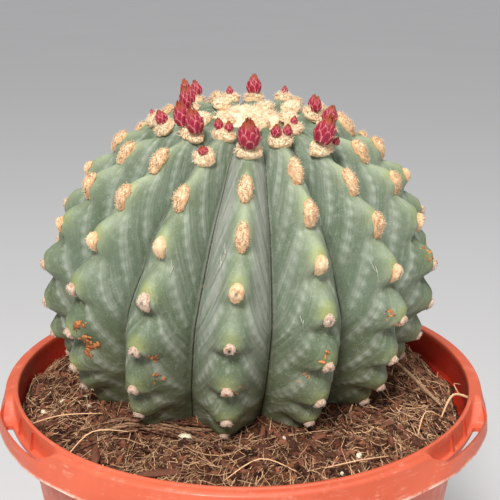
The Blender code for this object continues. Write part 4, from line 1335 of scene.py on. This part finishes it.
# ================================================================ marks on the skin
def build_scabs(cork, pale):
    """Rust-coloured cork where the skin was hurt: scabs on the front and side ribs."""
    spots = (
        # rib, place, across, how many crumbs, spread in millimetres, crumb size in millimetres
        (-2, 53, 0.36, 34, 3.6, 1.7), (-2, 46, 0.26, 14, 1.6, 1.3), (-1, 47, 0.32, 12, 2.4, 1.1),
        (1, 44, -0.12, 6, 2.2, 1.1), (2, 40, -0.28, 12, 2.6, 1.2), (1, 52, -0.30, 9, 2.6, 1.0),
        (-1, 54, 0.42, 7, 2.4, 0.9), (0, 53, 0.12, 6, 3.0, 0.8), (3, 33, -0.12, 14, 2.8, 1.2),
    )
    ball, ball_faces = SMALL_BALL
    for number, (rib, place, across, count, spread, size) in enumerate(spots):
        here, axes = skin_frame(rib, place, across)
        vertices, faces, tone = [], [], []
        for _ in range(count):
            a, b = rng.gauss(0, spread / 2200), rng.gauss(0, spread / 1500)
            half = math.pi * float(crest_point(place)[0]) / RIBS
            root = Vector(skin_points([rib], [place + b * 700], [across + a / half])[0])
            grown = size / 2000 * rng.uniform(0.5, 1.2)
            turn = axes @ Matrix.Rotation(rng.uniform(0, 3.1), 3, "Z")
            stretch = (rng.uniform(0.6, 1.0), rng.uniform(1.0, 2.4), 0.45)
            seed = rng.uniform(0, 50)
            faces += [[len(vertices) + i for i in f] for f in ball_faces]
            vertices += [root + turn @ (p * grown) for p in uneven_ball(ball, stretch, 0.4, 2.0, seed)]
            tone += [rng.uniform(0.1, 1.0)] * len(ball)
        ob = mesh_object(f"skin_scab_{number + 1}", vertices, faces, cork, attributes={"tone": tone})
        finish_piece(ob, "cactus_skin")
    scars = []
    for rib, place, across, run in ((2, 24, -0.42, 2.2), (0, 15, -0.45, 1.3), (0, 18, -0.52, 1.0),
                                    (1, 33, -0.5, 1.2), (-1, 21, 0.3, 1.0), (1, 9, 0.35, 0.9)):
        scars.append([Vector(p) for p in skin_points(
            [rib] * 7, [place + run * (0.5 * i + math.sin(i * 1.1)) for i in range(7)],
            [across + 0.03 * i - 0.004 * i * i for i in range(7)], lift=0.0007)])
    tubes("skin_scars", scars, [0.00011] * len(scars), [0.9] * len(scars), pale, "cactus_skin", sides=5)


# ================================================================ the studio
def place_in_scene(ob, place, target):
    """Put a light or the camera at a place, facing a target."""
    ob.location = place
    ob.rotation_euler = (Vector(target) - Vector(place)).to_track_quat("-Z", "Y").to_euler()
    bpy.context.scene.collection.objects.link(ob)


def area_light(name, place, size, power, colour):
    light = bpy.data.lights.new(name, "AREA")
    light.shape = "DISK"
    light.size = size
    light.energy = power
    light.color = colour
    place_in_scene(bpy.data.objects.new(name, light), place, (0.0, 0.0, 0.2))


def build_floor():
    s = Shader("studio_floor", roughness=0.9, specular=0.1)
    cloud = s.noise(s.position(), 1.5, 2.0)
    s.out(s.mix(cloud, (0.64, 0.635, 0.63), (0.68, 0.675, 0.67)))
    half = 45.0
    corners = [(-half, -half, 0), (half, -half, 0), (half, half, 0), (-half, half, 0)]
    floor = mesh_object("studio_floor", corners, [(0, 1, 2, 3)], s.material)


def build_lights():
    """A soft key over the viewer's left shoulder, soft light from overhead and a little from the right."""
    area_light("key", (-0.24, -0.93, 1.20), 0.36, 20.5, (1.0, 0.985, 0.96))
    sun = bpy.data.lights.new("overhead", "SUN")
    sun.energy = 1.10
    sun.angle = math.radians(28)
    overhead = bpy.data.objects.new("overhead", sun)
    overhead.rotation_euler = (math.radians(-6), math.radians(8), 0)
    bpy.context.scene.collection.objects.link(overhead)
    area_light("side", (1.1, -0.55, 0.65), 0.6, 1.8, (1.0, 0.98, 0.95))
    world = bpy.data.worlds.new("studio_world")
    bpy.context.scene.world = world
    world.use_nodes = True
    background = world.node_tree.nodes["Background"]
    background.inputs["Color"].default_value = (0.93, 0.95, 1.0, 1.0)
    background.inputs["Strength"].default_value = 0.27


def build_camera():
    """The eye is a hand's reach off, a little above the plant."""
    camera = bpy.data.cameras.new("camera")
    camera.lens = 64.8
    camera.sensor_width = 36.0
    camera.clip_start = 0.01
    ob = bpy.data.objects.new("camera", camera)
    place_in_scene(ob, (0.0, -0.3773, RIM_TOP + 0.1711), (0.0027, 0.0, RIM_TOP + 0.0556))
    bpy.context.scene.camera = ob
    bpy.context.scene.view_settings.view_transform = "Standard"


# ================================================================ everything
build_floor()
build_lights()
build_camera()
build_pot(pot_material())
build_soil(soil_material())
fibre_look = toned_material("fibre_look", (0.075, 0.022, 0.012), (1.0, 0.62, 0.35))
build_fibres(fibre_look)
bark_look = toned_material("bark_look", (0.030, 0.011, 0.007), (0.24, 0.090, 0.052))
perlite_look = toned_material("perlite_look", (0.50, 0.45, 0.30), (0.86, 0.80, 0.60))
build_loose_things(fibre_look, bark_look, perlite_look)
build_scabs(toned_material("cork_look", (0.22, 0.060, 0.020), (0.72, 0.29, 0.10)),
            toned_material("scar_look", (0.40, 0.36, 0.26), (0.72, 0.70, 0.58)))
build_crumbs(toned_material("crumb_look", (0.014, 0.005, 0.003), (0.30, 0.115, 0.060)),
             bark_look, perlite_look)
build_stem(skin_material())
# the root colours are partly painted shade and the tip colours partly painted light
cream = wool_material("young_wool_look", root=(0.78, 0.48, 0.25), middle=(0.95, 0.72, 0.46),
                      tip=(1.0, 0.88, 0.65), dirt=(0.90, 0.55, 0.28))
peach = wool_material("wool_look", root=(0.62, 0.31, 0.13), middle=(0.88, 0.57, 0.31),
                      tip=(0.98, 0.80, 0.56), dirt=(0.76, 0.38, 0.16))
faded = wool_material("old_wool_look", root=(0.34, 0.20, 0.13), middle=(0.72, 0.53, 0.40),
                      tip=(0.86, 0.70, 0.55), dirt=(0.50, 0.24, 0.12))
build_crown_wool(cream)
build_pads(cream, peach, faded)
crimson = bud_material()
for bud_number, bud_values in enumerate(BUDS):
    build_bud(bud_number + 1, bud_values, crimson)
